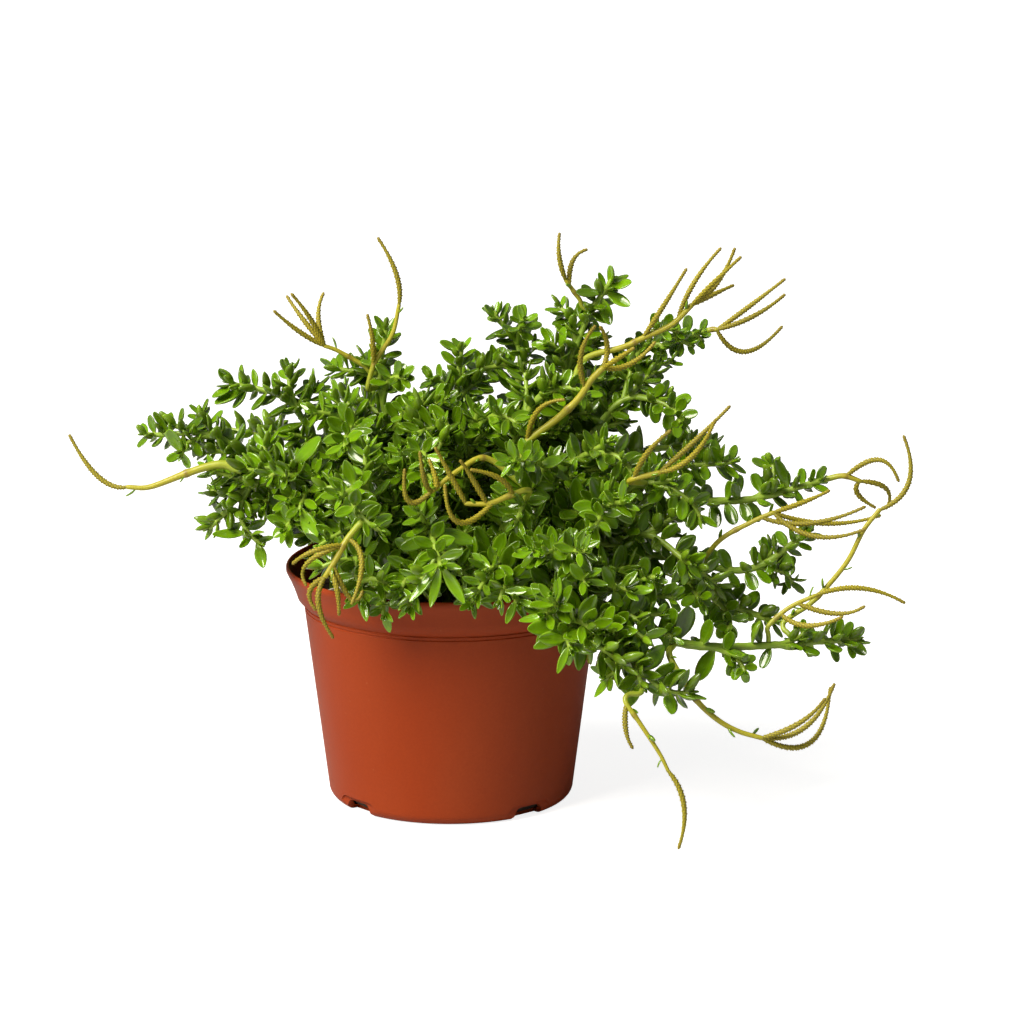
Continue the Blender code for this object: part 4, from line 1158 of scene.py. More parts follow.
class StageSettings(bpy.types.PropertyGroup):
    floor: bpy.props.FloatVectorProperty(
        name="Floor", description="Colour of the floor",
        default=(0.55, 0.55, 0.55), **COLOUR)
    distance: bpy.props.FloatProperty(
        name="Camera distance", description="From the camera to the point it looks at",
        subtype="DISTANCE", unit="LENGTH", default=2.06, min=0.5, max=6.0)
    elevation: bpy.props.FloatProperty(
        name="Camera elevation", description="How far the camera looks down",
        subtype="ANGLE", unit="ROTATION", default=math.radians(13.1), min=0.0, max=1.5)
    key: bpy.props.FloatProperty(
        name="Key light", description="Power of the large light on the left",
        subtype="POWER", unit="POWER", default=122.0, min=0.0, max=500.0)
    top: bpy.props.FloatProperty(
        name="Top light", description="Strength of the soft light from above",
        default=0.8, min=0.0, max=20.0)
    sky: bpy.props.FloatProperty(
        name="Room light", description="Strength of the even light from all sides",
        default=0.15, min=0.0, max=5.0)


# Colours that the finishes add to those of the settings
PLASTIC_SHADE = (0.1, 0.012, 0.002, 1.0)
PEAT_CRUMB = (0.085, 0.05, 0.028, 1.0)
PEAT_BARK = (0.16, 0.085, 0.04, 1.0)
GRAIN_FACE = (0.86, 0.82, 0.72, 1.0)
# Painted light: the leaf margin made paler, as if lit through its thin edge
LEAF_MARGIN_GLOW = (0.32, 0.44, 0.05, 1.0)
LEAF_FOOT = (0.34, 0.48, 0.04, 1.0)
LEAF_MIDDLE = (0.24, 0.44, 0.03, 1.0)
LEAF_MOTTLE = (0.04, 0.11, 0.003, 1.0)
STEM_OLD = (0.17, 0.3, 0.015, 1.0)
STEM_RING = (0.4, 0.5, 0.06, 1.0)
STEM_STREAK = (0.32, 0.46, 0.06, 1.0)
STALK_FOOT = (0.3, 0.42, 0.03, 1.0)
STALK_SCAR = (0.16, 0.07, 0.02, 1.0)
STALK_STREAK = (0.52, 0.49, 0.06, 1.0)
# Painted shade: the dark colour put into the hollows between a spike's grains
SPIKE_HOLLOW_SHADE = (0.15, 0.125, 0.002, 1.0)
SPIKE_GRAIN = (0.6, 0.54, 0.08, 1.0)
# How far the relief of most finishes stands out, in metres
FINE_RELIEF = 0.0002


# Finishes

def pot_surface(settings):
    made = Surface("terracotta_plastic")
    cloud = made.noise(14.0, 4.0, (1.0, 1.0, 0.45))
    grain = made.noise(900.0, 2.0)
    scuffs = made.math("MULTIPLY", made.spots(170.0, 0.1), made.span(made.noise(35.0), 0.52, 0.6))
    worn = made.math("ADD", made.span(cloud, 0.42, 0.75, 0.0, 0.35), made.math("MULTIPLY", scuffs, 0.6))
    colour = made.mix(worn, rgb(settings.colour), rgb(settings.faded))
    colour = made.tint(colour, PLASTIC_SHADE, grain, 0.3, 0.7, 0.12)
    made.shade(base_color=colour, specular_ior_level=0.2)
    made.shade(roughness=made.span(cloud, 0.3, 0.7, settings.roughness - 0.06, settings.roughness + 0.08))
    made.bump(grain, 0.12, FINE_RELIEF)
    return made.material


def soil_surface(settings):
    made = Surface("peat")
    crumb = made.noise(520.0, 6.0)
    clods = made.noise(120.0, 3.0)
    bark = made.math("MULTIPLY", made.spots(260.0, 0.28), made.span(clods, 0.5, 0.62))
    colour = made.tint(rgb(settings.colour), PEAT_CRUMB, crumb, 0.35, 0.7)
    made.shade(base_color=made.mix(bark, colour, PEAT_BARK), roughness=0.95)
    made.bump(crumb, 0.8, 0.0008)
    return made.material


def grain_surface(settings):
    made = Surface("mineral_grain")
    pits = made.noise(1500.0, 4.0)
    colour = made.tint(rgb(settings.grain_colour), GRAIN_FACE, pits, 0.35, 0.7)
    made.shade(base_color=colour, roughness=0.9)
    made.bump(pits, 0.6, 0.0003)
    return made.material


def leaf_surface(settings):
    made = Surface("leaf_green")
    tone, share, girth, age = made.growth()
    mottle = made.noise(420.0, 3.0)
    patch = made.noise(30.0, 2.0)
    top = made.mix(age, rgb(settings.young), rgb(settings.grown))
    top = made.tint(top, rgb(settings.young), patch, 0.35, 0.65, 0.3)
    under = made.math("SUBTRACT", 1.0, made.span(girth, 0.3, 0.62))
    colour = made.mix(made.math("MULTIPLY", under, 0.75), top, rgb(settings.under))
    # Painted light: a pale band along the margins, as if light shone through the thin edge
    margin = made.math("MULTIPLY", made.span(girth, 0.42, 0.5), made.span(girth, 0.58, 0.5))
    colour = made.mix(made.math("MULTIPLY", margin, 0.55), colour, LEAF_MARGIN_GLOW)
    foot = made.span(share, 0.3, 0.02)
    colour = made.mix(made.math("MULTIPLY", foot, 0.8), colour, LEAF_FOOT)
    middle = made.math("MULTIPLY", made.span(girth, 0.9, 1.0), made.span(share, 0.9, 0.3, 0.0, 0.35))
    colour = made.mix(middle, colour, LEAF_MIDDLE)
    colour = made.tint(colour, LEAF_MOTTLE, mottle, 0.3, 0.7, 0.22)
    bright = made.span(tone, 0.0, 1.0, 0.57, 1.3)
    made.shade(base_color=made.mix(1.0, colour, bright, "MULTIPLY"))
    rough = made.math("ADD", made.span(under, 0.0, 1.0, settings.roughness, 0.5),
                      made.span(mottle, 0.3, 0.7, -0.05, 0.08))
    made.shade(roughness=rough, subsurface_weight=0.12, subsurface_radius=(0.4, 1.0, 0.15),
               subsurface_scale=0.0012, specular_ior_level=0.15, coat_weight=1.0, coat_roughness=0.06)
    made.bump(mottle, 0.12, FINE_RELIEF)
    return made.material


def fleshy(made, colour, streak, let_through, depth, relief):
    """The finish of a fleshy stem: a streaked gloss, fine relief and a little light let through."""
    made.shade(base_color=colour, roughness=made.span(streak, 0.3, 0.7, 0.34, 0.5),
               subsurface_weight=0.1, subsurface_radius=let_through, subsurface_scale=depth)
    made.bump(streak, relief, FINE_RELIEF)
    return made.material


def stem_surface(settings):
    made = Surface("stem_green")
    _, _, ring, age = made.growth()
    streak = made.noise(700.0, 3.0)
    colour = made.mix(age, rgb(settings.stem), STEM_OLD)
    colour = made.mix(made.math("MULTIPLY", ring, 0.5), colour, STEM_RING)
    colour = made.tint(colour, STEM_STREAK, streak, 0.35, 0.7, 0.35)
    return fleshy(made, colour, streak, (0.5, 1.0, 0.2), 0.0012, 0.15)


def stalk_surface(settings):
    made = Surface("stalk_yellow")
    _, share, ring, _ = made.growth()
    streak = made.noise(600.0, 3.0)
    colour = made.tint(STALK_FOOT, rgb(settings.stalk), share, 0.0, 0.5)
    colour = made.mix(made.math("MULTIPLY", ring, 0.8), colour, STALK_SCAR)
    colour = made.tint(colour, STALK_STREAK, streak, 0.4, 0.7, 0.3)
    return fleshy(made, colour, streak, (0.8, 1.0, 0.3), 0.001, 0.12)


def spike_surface(settings):
    made = Surface("flower_yellow")
    tone, share, bead, _ = made.growth()
    grain = made.noise(1600.0, 3.0)
    colour = made.tint(rgb(settings.stalk), rgb(settings.spike), share, 0.0, 0.12)
    colour = made.tint(colour, rgb(settings.tip), share, 0.85, 1.0, 0.45)
    # Painted shade: darker in the hollows between the grains
    colour = made.mix(made.span(bead, 0.0, 0.7, 0.85, 0.0), colour, SPIKE_HOLLOW_SHADE)
    colour = made.tint(colour, SPIKE_GRAIN, grain, 0.5, 0.75, 0.3)
    bright = made.span(tone, 0.0, 1.0, 0.8, 1.2)
    made.shade(base_color=made.mix(1.0, colour, bright, "MULTIPLY"), roughness=0.62)
    made.bump(grain, 0.3, FINE_RELIEF)
    return made.material


# Growing the whole plant

GROWN = {}


def grow_plant():
    """All strands, and the leaves of each; the leaves of the solids take their places first."""
    if GROWN:
        return GROWN
    stems, strands = grow_strands()
    thicket = Thicket()
    for strand in strands:
        verts, faces = strand_solid(strand)
        thicket.add(strand, verts, BVHTree.FromPolygons(verts, faces))
    rest = []
    leaves = {id(strand): [] for strand in stems}
    for number, strand in enumerate(stems):
        whorls = whorl_leaves(strand, number)
        chosen = chosen_leaves(whorls)
        kept = {id(leaf) for leaf in chosen}
        leaves[id(strand)] += [leaf for leaf in chosen if place_leaf(thicket, leaf)]
        rest += [leaf for whorl in whorls for leaf in whorl if id(leaf) not in kept]
    for leaf in seen_leaves(stems):
        if place_leaf(thicket, leaf):
            leaves[id(leaf.strand)].append(leaf)
    fillers = seen_shoots(stems, thicket) + rim_shoots(stems, thicket) + filling_shoots(stems, thicket)
    for number, strand in enumerate(fillers):
        leaves[id(strand)] = []
        rest += [leaf for whorl in whorl_leaves(strand, SHOOT_SEED + number) for leaf in whorl]
    for number, strand in enumerate(stems):
        if strand.kind == "stem":
            rest += low_leaves(strand, LOW_SEED + number)
    rest.sort(key=lambda leaf: leaf.distance)
    draw = random.Random(LOOSE_SEED)
    for leaf in rest:
        leaf.width *= draw.uniform(*LOOSE_WIDTH)
        leaf.turn += draw.uniform(*LOOSE_TURN)
        leaf.pitch += draw.uniform(*LOOSE_LEAN)
        bare = leaf.strand.node in BARE_STEMS and leaf.distance > BARE_FROM
        if not bare and in_box(leaf) and place_leaf(thicket, leaf):
            leaves[id(leaf.strand)].append(leaf)
    GROWN.update(stems=stems + fillers, strands=strands, leaves=leaves)
    return GROWN


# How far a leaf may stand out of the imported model's box
BOX_ROOM = 1.5
# How leaves outside the solids vary: their width, and their turn and lean in radians
LOOSE_WIDTH = (0.9, 1.1)
LOOSE_TURN = (-0.35, 0.35)
LOOSE_LEAN = (-0.3, 0.25)
# Shoots that fill the plant out: where they start and end along each stem, their step along it, their
# lengths, and how many other strands have to be how near their tips
FILLING_START = 14.0
FILLING_FOOT = 14.0
FILLING_STEP = 4.6
FILLING_LENGTH = (13.0, 27.0)
FILLING_REACH = 20.0
FILLING_NEIGHBOURS = 2
# How much such a shoot follows its stem, the way out from the middle of the plant, and chance
FILLING_PULLS = (0.45, 0.5, 0.9)
FILLING_ARCH = 1.5
# Shoots that lean out over the pot's rim: step round the rim in degrees and how much it varies, how far
# out and up their tips and the places that they come from are, how far from there their feet may be,
# how high they arch, and the stretch of the rim on the left that stays open to view
RIM_STEP = 6.0
RIM_SHIFT = (-0.3, 0.3)
RIM_TIP_OUT = (79.0, 90.0)
RIM_TIP_UP = (106.0, 120.0)
RIM_GATE_OUT = 56.0
RIM_GATE_UP = (114.0, 128.0)
RIM_REACH = 42.0
RIM_ARCH = (5.0, 9.0)
OPEN_RIM = (165.0, 246.0)
# Heights over the soil at which the lowest leaves of a stem and the lowest side shoots start
LOW_FOOT = 9.0
ROOT_ROOM = 8.0
# The lowest leaves: length, breadth as a share of it, lean from the usual one in degrees, and curl
LOW_LENGTH = (14.0, 21.0)
LOW_BREADTH = 0.46
LOW_LEAN = (-20, 12)
LOW_CURL = (0.02, 0.1)
# Stems that have dropped their old leaves, how far back from their tips, and how thick those and all
# others are beside their solids
BARE_STEMS = {"stem_right_fork", "stem_right_inner", "stem_right_trailing", "stem_right_long"}
BARE_FROM = 35.0
BARE_THICKNESS = 1.3
STEM_THICKNESS = 1.1


# Leaves in view set one by one: their stem, then each leaf's foot, its tip and its width
SEEN_LEAVES = [
    ("right_trailing", [
        (86, -73, 103, 88, -76, 120, 10.2), (93, -78, 98, 101, -84, 107, 9.8),
        (119, -77, 90, 114, -81, 77, 6.4), (112, -79, 91, 117, -82, 102, 6.2),
    ]),
    ("rim_low", [(65, -98, 104, 53, -103, 93, 7.0), (65, -98, 104, 49, -106, 103, 6.6)]),
    ("far_left", [
        (-98, -15, 168, -94, -21, 149, 5.9), (-122, -23, 167, -126, -26, 177, 5.0),
        (-92, -14, 163, -98, -23, 171, 4.6),
    ]),
    ("left_low", [
        (-83, -30, 154, -71, -35, 135, 8.2), (-87, -40, 130, -84, -43, 119, 5.0),
        (-91, -37, 133, -106, -41, 133, 4.4),
    ]),
    ("left_flowering", [
        (-72, -35, 163, -58, -37, 176, 8.2), (-78, -35, 163, -78, -43, 175, 5.8),
        (-71, -34, 163, -72, -42, 174, 5.8), (-67, -49, 148, -62, -53, 134, 6.3),
        (-91, -37, 162, -102, -46, 168, 4.6),
    ]),
    ("front_middle", [
        (-8, -70, 141, 11, -74, 136, 7.6), (-9, -88, 124, -7, -92, 113, 4.8),
        (-3, -88, 124, 3, -93, 113, 5.0), (-11, -86, 125, -16, -91, 115, 4.8),
    ]),
    ("front_left", [(-22, -30, 118, -24, -44, 104, 6.4)]),
    ("front_left_low", [(-39, -79, 116, -36, -82, 106, 5.3), (-41, -73, 123, -43, -80, 111, 5.3)]),
    ("upleft_mid", [(-47, -41, 174, -37, -47, 167, 5.4)]),
    ("front_star", [(61, -100, 126, 54, -105, 135, 5.3)]),
    ("top_high", [
        (70, 10, 235, 59, 7, 235, 4.8), (73, 10, 238, 74, 7, 247, 4.5), (72, 10, 238, 82, 6, 240, 4.8),
        (71, 10, 236, 81, 6, 230, 4.8), (69, 10, 233, 73, 7, 222, 4.5), (69, 10, 233, 63, 6, 226, 4.5),
    ]),
    ("left_high", [
        (-99, 5, 193, -105, 1, 201, 5.1), (-99, 5, 193, -108, 1, 188, 4.6),
        (-93, 4, 192, -104, 0, 182, 5.5), (-74, 4, 197, -76, 1, 205, 5.5),
        (-78, 1, 189, -86, -3, 195, 5.1), (-64, 5, 189, -58, 1, 193, 4.6),
    ]),
    ("far_left", [
        (-122, -15, 174, -113, -19, 181, 4.2), (-128, -15, 174, -133, -18, 184, 3.8),
        (-137, -15, 174, -141, -18, 169, 3.5),
    ]),
    ("top_mid", [(22, 24, 220, 16, 20, 226, 4.5), (22, 24, 220, 27, 20, 227, 4.5)]),
    ("top_star", [(5, 15, 207, -4, 11, 211, 4.5)]),
    ("right_long", [(156, -6, 146, 150, -9, 159, 4.1), (148, 1, 155, 140, -2, 158, 4.1)]),
    ("right_upper", [(124, -4, 158, 120, -7, 166, 4.6)]),
    ("right_fork", [
        (156, -37, 129, 163, -40, 134, 4.5), (152, -39, 125, 154, -42, 116, 4.8),
        (148, -40, 123, 145, -43, 116, 4.5),
    ]),
    ("right_trailing", [
        (174, -56, 88, 177, -59, 97, 4.4), (180, -54, 87, 187, -57, 82, 4.1),
        (161, -61, 88, 159, -64, 98, 4.4), (144, -68, 89, 141, -71, 80, 4.1),
        (140, -70, 89, 136, -73, 99, 4.4),
    ]),
    ("right_inner", [(131, -39, 99, 138, -42, 107, 4.7), (130, -39, 99, 125, -42, 106, 4.3)]),
    ("right_long", [
        (114, -11, 140, 110, -16, 132, 4.6), (114, -11, 140, 111, -15, 149, 4.8),
        (120, -10, 141, 116, -14, 149, 4.6), (120, -10, 141, 122, -15, 132, 4.6),
        (126, -9, 141, 129, -13, 150, 4.8), (126, -9, 141, 130, -14, 133, 4.6),
        (133, -8, 142, 129, -13, 151, 4.4), (133, -8, 142, 137, -13, 134, 4.4),
    ]),
    ("right_upper", [(112, 0, 156, 116, -5, 148, 4.8), (106, 0, 155, 107, -5, 164, 4.8)]),
    ("right_fork", [(128, -41, 118, 122, -46, 126, 5.0), (134, -42, 117, 138, -47, 110, 5.0)]),
]
# How much each of them curls up
SEEN_CURL = 0.05
# Tips of small side shoots that close the outline where the plant is thick in view
SEEN_TIPS = [
    (-17, -20, 189), (-12, -24, 192), (-7, -22, 189), (-2, -14, 190), (-3, -36, 183), (-14, -40, 180),
    (-11, -62, 171), (-7, -66, 164), (28, -88, 177), (111, 22, 208), (102, 18, 201), (94, 12, 197),
    (87, 18, 206), (106, 20, 214), (116, 26, 210), (98, 16, 208), (113, -60, 107), (108, -60, 120),
    (100, -75, 112), (92, -80, 123), (80, -92, 120), (87, -98, 99), (78, -104, 88), (63, -106, 106),
    (94, -84, 107), (85, -92, 106), (99, -86, 96), (75, -102, 100), (-72, -45, 150), (-81, -42, 160),
    (-62, -50, 142), (-58, -58, 132), (-85, -36, 146), (-74, -48, 137), (-21, -84, 118),
    (-15, -88, 116), (13, -92, 119), (-27, -84, 121), (23, -94, 116),
]
# How far back from its tip such a shoot starts, how far from there its stem may be, how its middle may
# be lifted, and the point that it comes from
SEEN_LENGTH = 15.0
SEEN_REACH = 32.0
SEEN_LIFTS = [(0, 0, 2), (0, -3, 4), (3, 0, 5), (-3, 0, 5), (4, -4, 0), (-4, -4, 0), (0, 0, 8), (0, -6, -2)]
HEART = (10.0, -10.0, 110.0)


def nearest_place(places, point):
    """The strand and the distance back from its tip that lie nearest to a point."""
    return min(places, key=lambda row: (row[0].place(row[1])[0] - point).length)


def seen_leaves(stems):
    """The leaves in view, each from the place on its stem nearest to its foot."""
    leaves = []
    for name, rows in SEEN_LEAVES:
        places = [(strand, back) for strand in stems if strand.node == "stem_" + name
                  for back in range(1, int(strand.length - ROOT_DEPTH))]
        for row in rows:
            strand, back = nearest_place(places, Vector(row[:3]))
            start, axis = strand.place(back)
            wanted = Vector(row[3:6]) - start
            leaf = Leaf(strand, back, 0.0, wanted.length, row[6], 0.0, SEEN_CURL)
            first = level_side(axis)
            rise = wanted.z / wanted.length * LEAF_LIFT
            aim = wanted.normalized() * (rise + math.sqrt(rise**2 + 1.0 - LEAF_LIFT**2)) - UP * LEAF_LIFT
            leaf.turn = math.atan2(aim.dot(axis.cross(first)), aim.dot(first))
            leaf.pitch = math.acos(max(-1.0, min(1.0, aim.dot(axis))))
            leaf.seen = True
            leaves.append(leaf)
    return leaves


def seen_shoots(stems, thicket):
    """Side shoots to the tips in view, each from the nearest stem."""
    shoots = []
    places = stem_places(stems, 6, 3)
    for tip in SEEN_TIPS:
        end = Vector(tip)
        gate = end + (Vector(HEART) - end).normalized() * SEEN_LENGTH
        near = {}
        for strand, back in places:
            far = (strand.place(back)[0] - gate).length
            if far < near.get(id(strand), (SEEN_REACH,))[0]:
                near[id(strand)] = (far, strand, back)
        nearest_first = sorted(near.values(), key=lambda row: row[0])
        tries = [(strand, back, lift) for _, strand, back in nearest_first for lift in SEEN_LIFTS]
        for strand, back, lift in tries:
            middle = strand.place(back)[0].lerp(end, 0.5) + Vector(lift)
            shoot = filling_shoot(strand, back, middle, end, thicket)
            if shoot:
                shoots.append(shoot)
                break
    return shoots


def stem_places(stems, first, step):
    """Places along the main stems, from a distance back from each tip down to near the soil."""
    return [(strand, back) for strand in stems if strand.kind == "stem"
            for back in range(first, int(strand.length - ROOT_DEPTH - ROOT_ROOM), step)]


def in_box(leaf):
    """Whether the leaf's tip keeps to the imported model's box."""
    foot, along, _, _ = leaf.frame()
    tip = foot + along * leaf.length
    low, high = CAD_BOX
    return all(low[i] / MM - BOX_ROOM < tip[i] < high[i] / MM + BOX_ROOM for i in range(3))


def filling_shoot(parent, distance, middle, end, thicket):
    """A short shoot from a place on its parent, or None where it would cut into something."""
    start = parent.place(distance)[0]
    shoot = Strand(parent.node, "shoot", bow(start, middle, end), SHOOT_BASE_RADIUS, SHOOT_TIP_RADIUS)
    shoot.leaf_factor = parent.leaf_factor * SHOOT_LEAVES
    verts, faces = strand_solid(shoot)
    whole = BVHTree.FromPolygons(verts, faces)
    if in_pot(verts) or thicket.crosses(parent, verts, whole, whole):
        return None
    thicket.add(shoot, verts, whole)
    return shoot


def filling_shoots(stems, thicket):
    """Short side shoots between the others, where the plant is thick around their tips."""
    fillers = []
    points = [(point, strand) for strand in stems for point in strand.points]
    tree = KDTree(len(points))
    for number, (point, strand) in enumerate(points):
        tree.insert(point, number)
    tree.balance()
    for number, parent in enumerate(stems):
        if parent.kind != "stem" or parent.node in BARE_STEMS:
            continue
        draw = random.Random(FILLING_SEED + number)
        distance = FILLING_START
        while distance < parent.length - ROOT_DEPTH - FILLING_FOOT:
            start, axis = parent.place(distance)
            out = Vector((start.x, start.y, 0.0)).normalized()
            lean = Vector((draw.uniform(-1, 1), draw.uniform(-1, 1), draw.uniform(-0.4, 1.0)))
            along, outward, chance = FILLING_PULLS
            heading = (axis * along + out * outward + lean * chance).normalized()
            end = start + heading * draw.uniform(*FILLING_LENGTH)
            near = {id(points[found][1]) for _, found, _ in tree.find_range(end, FILLING_REACH)}
            if len(near - {id(parent)}) >= FILLING_NEIGHBOURS:
                middle = start.lerp(end, 0.5) + axis * FILLING_ARCH
                shoot = filling_shoot(parent, distance, middle, end, thicket)
                if shoot:
                    fillers.append(shoot)
            distance += FILLING_STEP * draw.uniform(0.8, 1.2)
    return fillers


def rim_shoots(stems, thicket):
    """Shoots that lean out over the rim all round the pot, each from the nearest stem."""
    draw = random.Random(RIM_SEED)
    shoots = []
    places = stem_places(stems, 14, 4)
    for step in range(round(360.0 / RIM_STEP)):
        bearing = RIM_STEP * (step + draw.uniform(*RIM_SHIFT))
        if OPEN_RIM[0] < bearing < OPEN_RIM[1]:
            continue
        angle = math.radians(bearing)
        out = Vector((math.cos(angle), math.sin(angle), 0.0))
        end = out * draw.uniform(*RIM_TIP_OUT) + UP * draw.uniform(*RIM_TIP_UP)
        gate = out * RIM_GATE_OUT + UP * draw.uniform(*RIM_GATE_UP)
        parent, back = nearest_place(places, gate)
        start = parent.place(back)[0]
        if (start - gate).length < RIM_REACH:
            middle = start.lerp(end, 0.5) + UP * draw.uniform(*RIM_ARCH)
            shoot = filling_shoot(parent, back, middle, end, thicket)
            if shoot:
                shoots.append(shoot)
    return shoots


def low_leaves(strand, seed):
    """Old leaves further down a stem, below those of its whorls, where it is still bare."""
    draw = random.Random(seed)
    distance = strand.length - BARE_FOOT - ROOT_DEPTH
    turn = draw.uniform(0.0, math.tau)
    leaves = []
    while distance < strand.length - ROOT_DEPTH - LOW_FOOT:
        for member in range(WHORL):
            length = draw.uniform(*LOW_LENGTH) * strand.leaf_factor
            pitch = math.radians(PITCH_OLD + draw.uniform(*LOW_LEAN))
            leaves.append(Leaf(strand, distance, turn + math.tau * member / WHORL, length,
                               length * LOW_BREADTH, pitch, draw.uniform(*LOW_CURL)))
        turn += math.pi / WHORL
        distance += LAST_SPACING
    return leaves


def stem_parts(parts, strand, seed):
    """A leafy stem or side shoot with its swollen rings where the leaves sit."""
    draw = random.Random(STEM_SEED + seed)
    tone = draw.random()
    rings = [whorl[0].distance for whorl in whorl_leaves(strand, seed)]
    length = strand.length
    bare = strand.kind == "stem" and strand.node in BARE_STEMS
    thick = BARE_THICKNESS if bare else STEM_THICKNESS

    def radius_of(done, angle, row):
        back = length - done
        swell = max((math.exp(-((back - ring) / 1.1) ** 2) for ring in rings), default=0.0)
        return strand.radius_at(back) * (thick + 0.16 * swell)

    def paint_of(done, whole, angle, row):
        back = whole - done
        swell = max((math.exp(-((back - ring) / 0.9) ** 2) for ring in rings), default=0.0)
        return (tone, done / whole, swell, 1.0 - math.exp(-back / 60.0))

    tube_parts(parts, round_points(strand.points, 1.5), radius_of, 8, 0, paint_of)


# Leaves of a closed bud: how many, how long, and their lean from the stem in degrees
BUD_LEAVES = 4
BUD_LENGTH = (3.0, 5.0)
BUD_LEAN = (10.0, 26.0)


def bud_parts(parts, strand, seed):
    """The closed bud of small upright leaves at a strand's tip."""
    draw = random.Random(BUD_SEED + seed)
    turn = draw.uniform(0.0, math.tau)
    for member in range(BUD_LEAVES):
        length = draw.uniform(*BUD_LENGTH) * strand.leaf_factor
        bud = Leaf(strand, 0.3, turn + math.tau * member / BUD_LEAVES, length, length * 0.42,
                   math.radians(draw.uniform(*BUD_LEAN)), 0.02)
        leaf_parts(parts, bud, 1, draw.random(), 0.0)


# Grains round a spike, half the length of a grain, and the spike's radius where it is thickest
BEADS = 5
BEAD_STEP = 0.64
SPIKE_FULL = 1.3


def spike_parts(parts, strand, seed):
    """A flower spike, closely set with rows of round grains."""
    draw = random.Random(SPIKE_SEED + seed)
    tone = draw.random()

    def bead(angle, row):
        return (0.5 + 0.5 * math.cos(angle * BEADS + math.pi * (row // 2 % 2))) * (row % 2)

    def radius_of(done, angle, row):
        bare = min(1.0, done / 3.0)
        share = done / strand.length
        full = SPIKE_FULL * (0.62 + 0.38 * math.sin(math.pi * min(1.0, share * 1.1 + 0.1)))
        return full * (0.8 + 0.42 * bead(angle, row) * bare)

    def paint_of(done, whole, angle, row):
        return (tone, done / whole, bead(angle, row), 0.0)

    tube_parts(parts, round_points(strand.points, BEAD_STEP), radius_of, 2 * BEADS, 1, paint_of, cap=1.2)


# The tiny bracts of a stalk: distance of the first from its end, lengths, lean in degrees and steps
BRACT_START = (2.0, 6.0)
BRACT_LENGTH = (3.2, 5.5)
BRACT_LEAN = (35.0, 65.0)
BRACT_STEP = (9.0, 16.0)


def stalk_parts(parts, strand, seed):
    """A smooth flower stalk with a swollen node and a few tiny bracts."""
    draw = random.Random(STALK_SEED + seed)
    tone = draw.random()
    scar = draw.uniform(0.35, 0.7) * strand.length

    def radius_of(done, angle, row):
        swell = math.exp(-((done - scar) / 1.4) ** 2)
        return strand.radius_at(strand.length - done) * (0.96 + 0.22 * swell)

    def paint_of(done, whole, angle, row):
        return (tone, done / whole, math.exp(-((done - scar) / 0.8) ** 2), 0.0)

    tube_parts(parts, round_points(strand.points, 1.2), radius_of, 10, 0, paint_of)
    distance = draw.uniform(*BRACT_START)
    while distance < strand.length - BRACT_START[1]:
        length = draw.uniform(*BRACT_LENGTH)
        bract = Leaf(strand, distance, draw.uniform(0.0, math.tau), length + 1.0, length * 0.45,
                     math.radians(draw.uniform(*BRACT_LEAN)), 0.12)
        leaf_parts(parts, bract, 2, 0.8, 0.2)
        distance += draw.uniform(*BRACT_STEP)


# Pieces

class PEPEROMIA_OT_pot(bpy.types.Operator):
    """Turn the pot's wall, rim band and fine grooves, and cut its drain notches"""
    bl_idname = "peperomia.pot"
    bl_label = "Pot"

    def execute(self, context):
        settings = context.scene.peperomia_pot
        verts, faces = turned(pot_profile(), settings.sides)
        pot = mesh_piece("nursery_pot", verts, faces, pot_surface(settings))
        cut_notches(pot)
        pot.data.shade_smooth()
        pot.data.set_sharp_from_angle(angle=math.radians(32.0))
        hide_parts("pot")
        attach(pot, "root")
        return {"FINISHED"}


# Heights along the pot's wall, the two fine grooves below its band, and the shape of a groove: how far
# up from its middle, how deep
WALL_STEPS = (20.0, 40.0, 60.0, 80.0, 89.0)
GROOVES = (BAND_BOTTOM - 1.9, BAND_BOTTOM - 0.1)
GROOVE_SHAPE = ((-0.45, 0.0), (-0.1, 0.4), (0.1, 0.4), (0.45, 0.0))
# The flared band and the rounded lip: how far within the rim's radius, how far below the pot's top
BAND = (
    (4.3, 12.0), (3.2, 9.0), (1.7, 5.5), (0.5, 3.3), (0.0, 2.2), (0.0, 0.9), (0.25, 0.35), (0.8, 0.0),
    (1.35, 0.2),
)
# Each drain notch and the shallow recess round it: width, height and depth
NOTCHES = ((17.5, 5.6, NOTCH_DEPTH), (28.0, 7.4, 1.0))
# Outline of a notch: shares of its width, and below the base millimetres, above it shares of its height
NOTCH_OUTLINE = (
    (-0.5, -2.0), (0.5, -2.0), (0.5, 0.0), (0.44, 0.62), (0.36, 0.92), (0.28, 1.0), (-0.28, 1.0),
    (-0.36, 0.92), (-0.44, 0.62), (-0.5, 0.0),
)


def pot_profile():
    """Outline of the pot's wall, from the middle of its base round the rim to its inside floor."""
    corner_out = wall_radius(CORNER_RADIUS) - CORNER_RADIUS
    profile = [(0.0, 0.0), (corner_out * 0.5, 0.0)]
    profile += corner_arc(CORNER_RADIUS, corner_out, CORNER_RADIUS, 8)
    profile += [(wall_radius(height), height) for height in WALL_STEPS]
    for groove in GROOVES:
        for shift, depth in GROOVE_SHAPE:
            profile.append((wall_radius(groove + shift) - depth, groove + shift))
    profile.append((RIM_RADIUS - 5.2, BAND_BOTTOM + 3.2))
    profile += [(RIM_RADIUS - within, POT_HEIGHT - below) for within, below in BAND]
    profile += [
        (RIM_RADIUS - WALL, POT_HEIGHT - 0.7), (RIM_RADIUS - 3.4 - WALL, POT_HEIGHT - 9.7),
        (wall_radius(BAND_BOTTOM) - WALL, BAND_BOTTOM - 0.4),
        (wall_radius(CORNER_RADIUS) - WALL, CORNER_RADIUS + 1.0),
        (corner_out + 0.4, FLOOR), (0.0, FLOOR),
    ]
    return profile


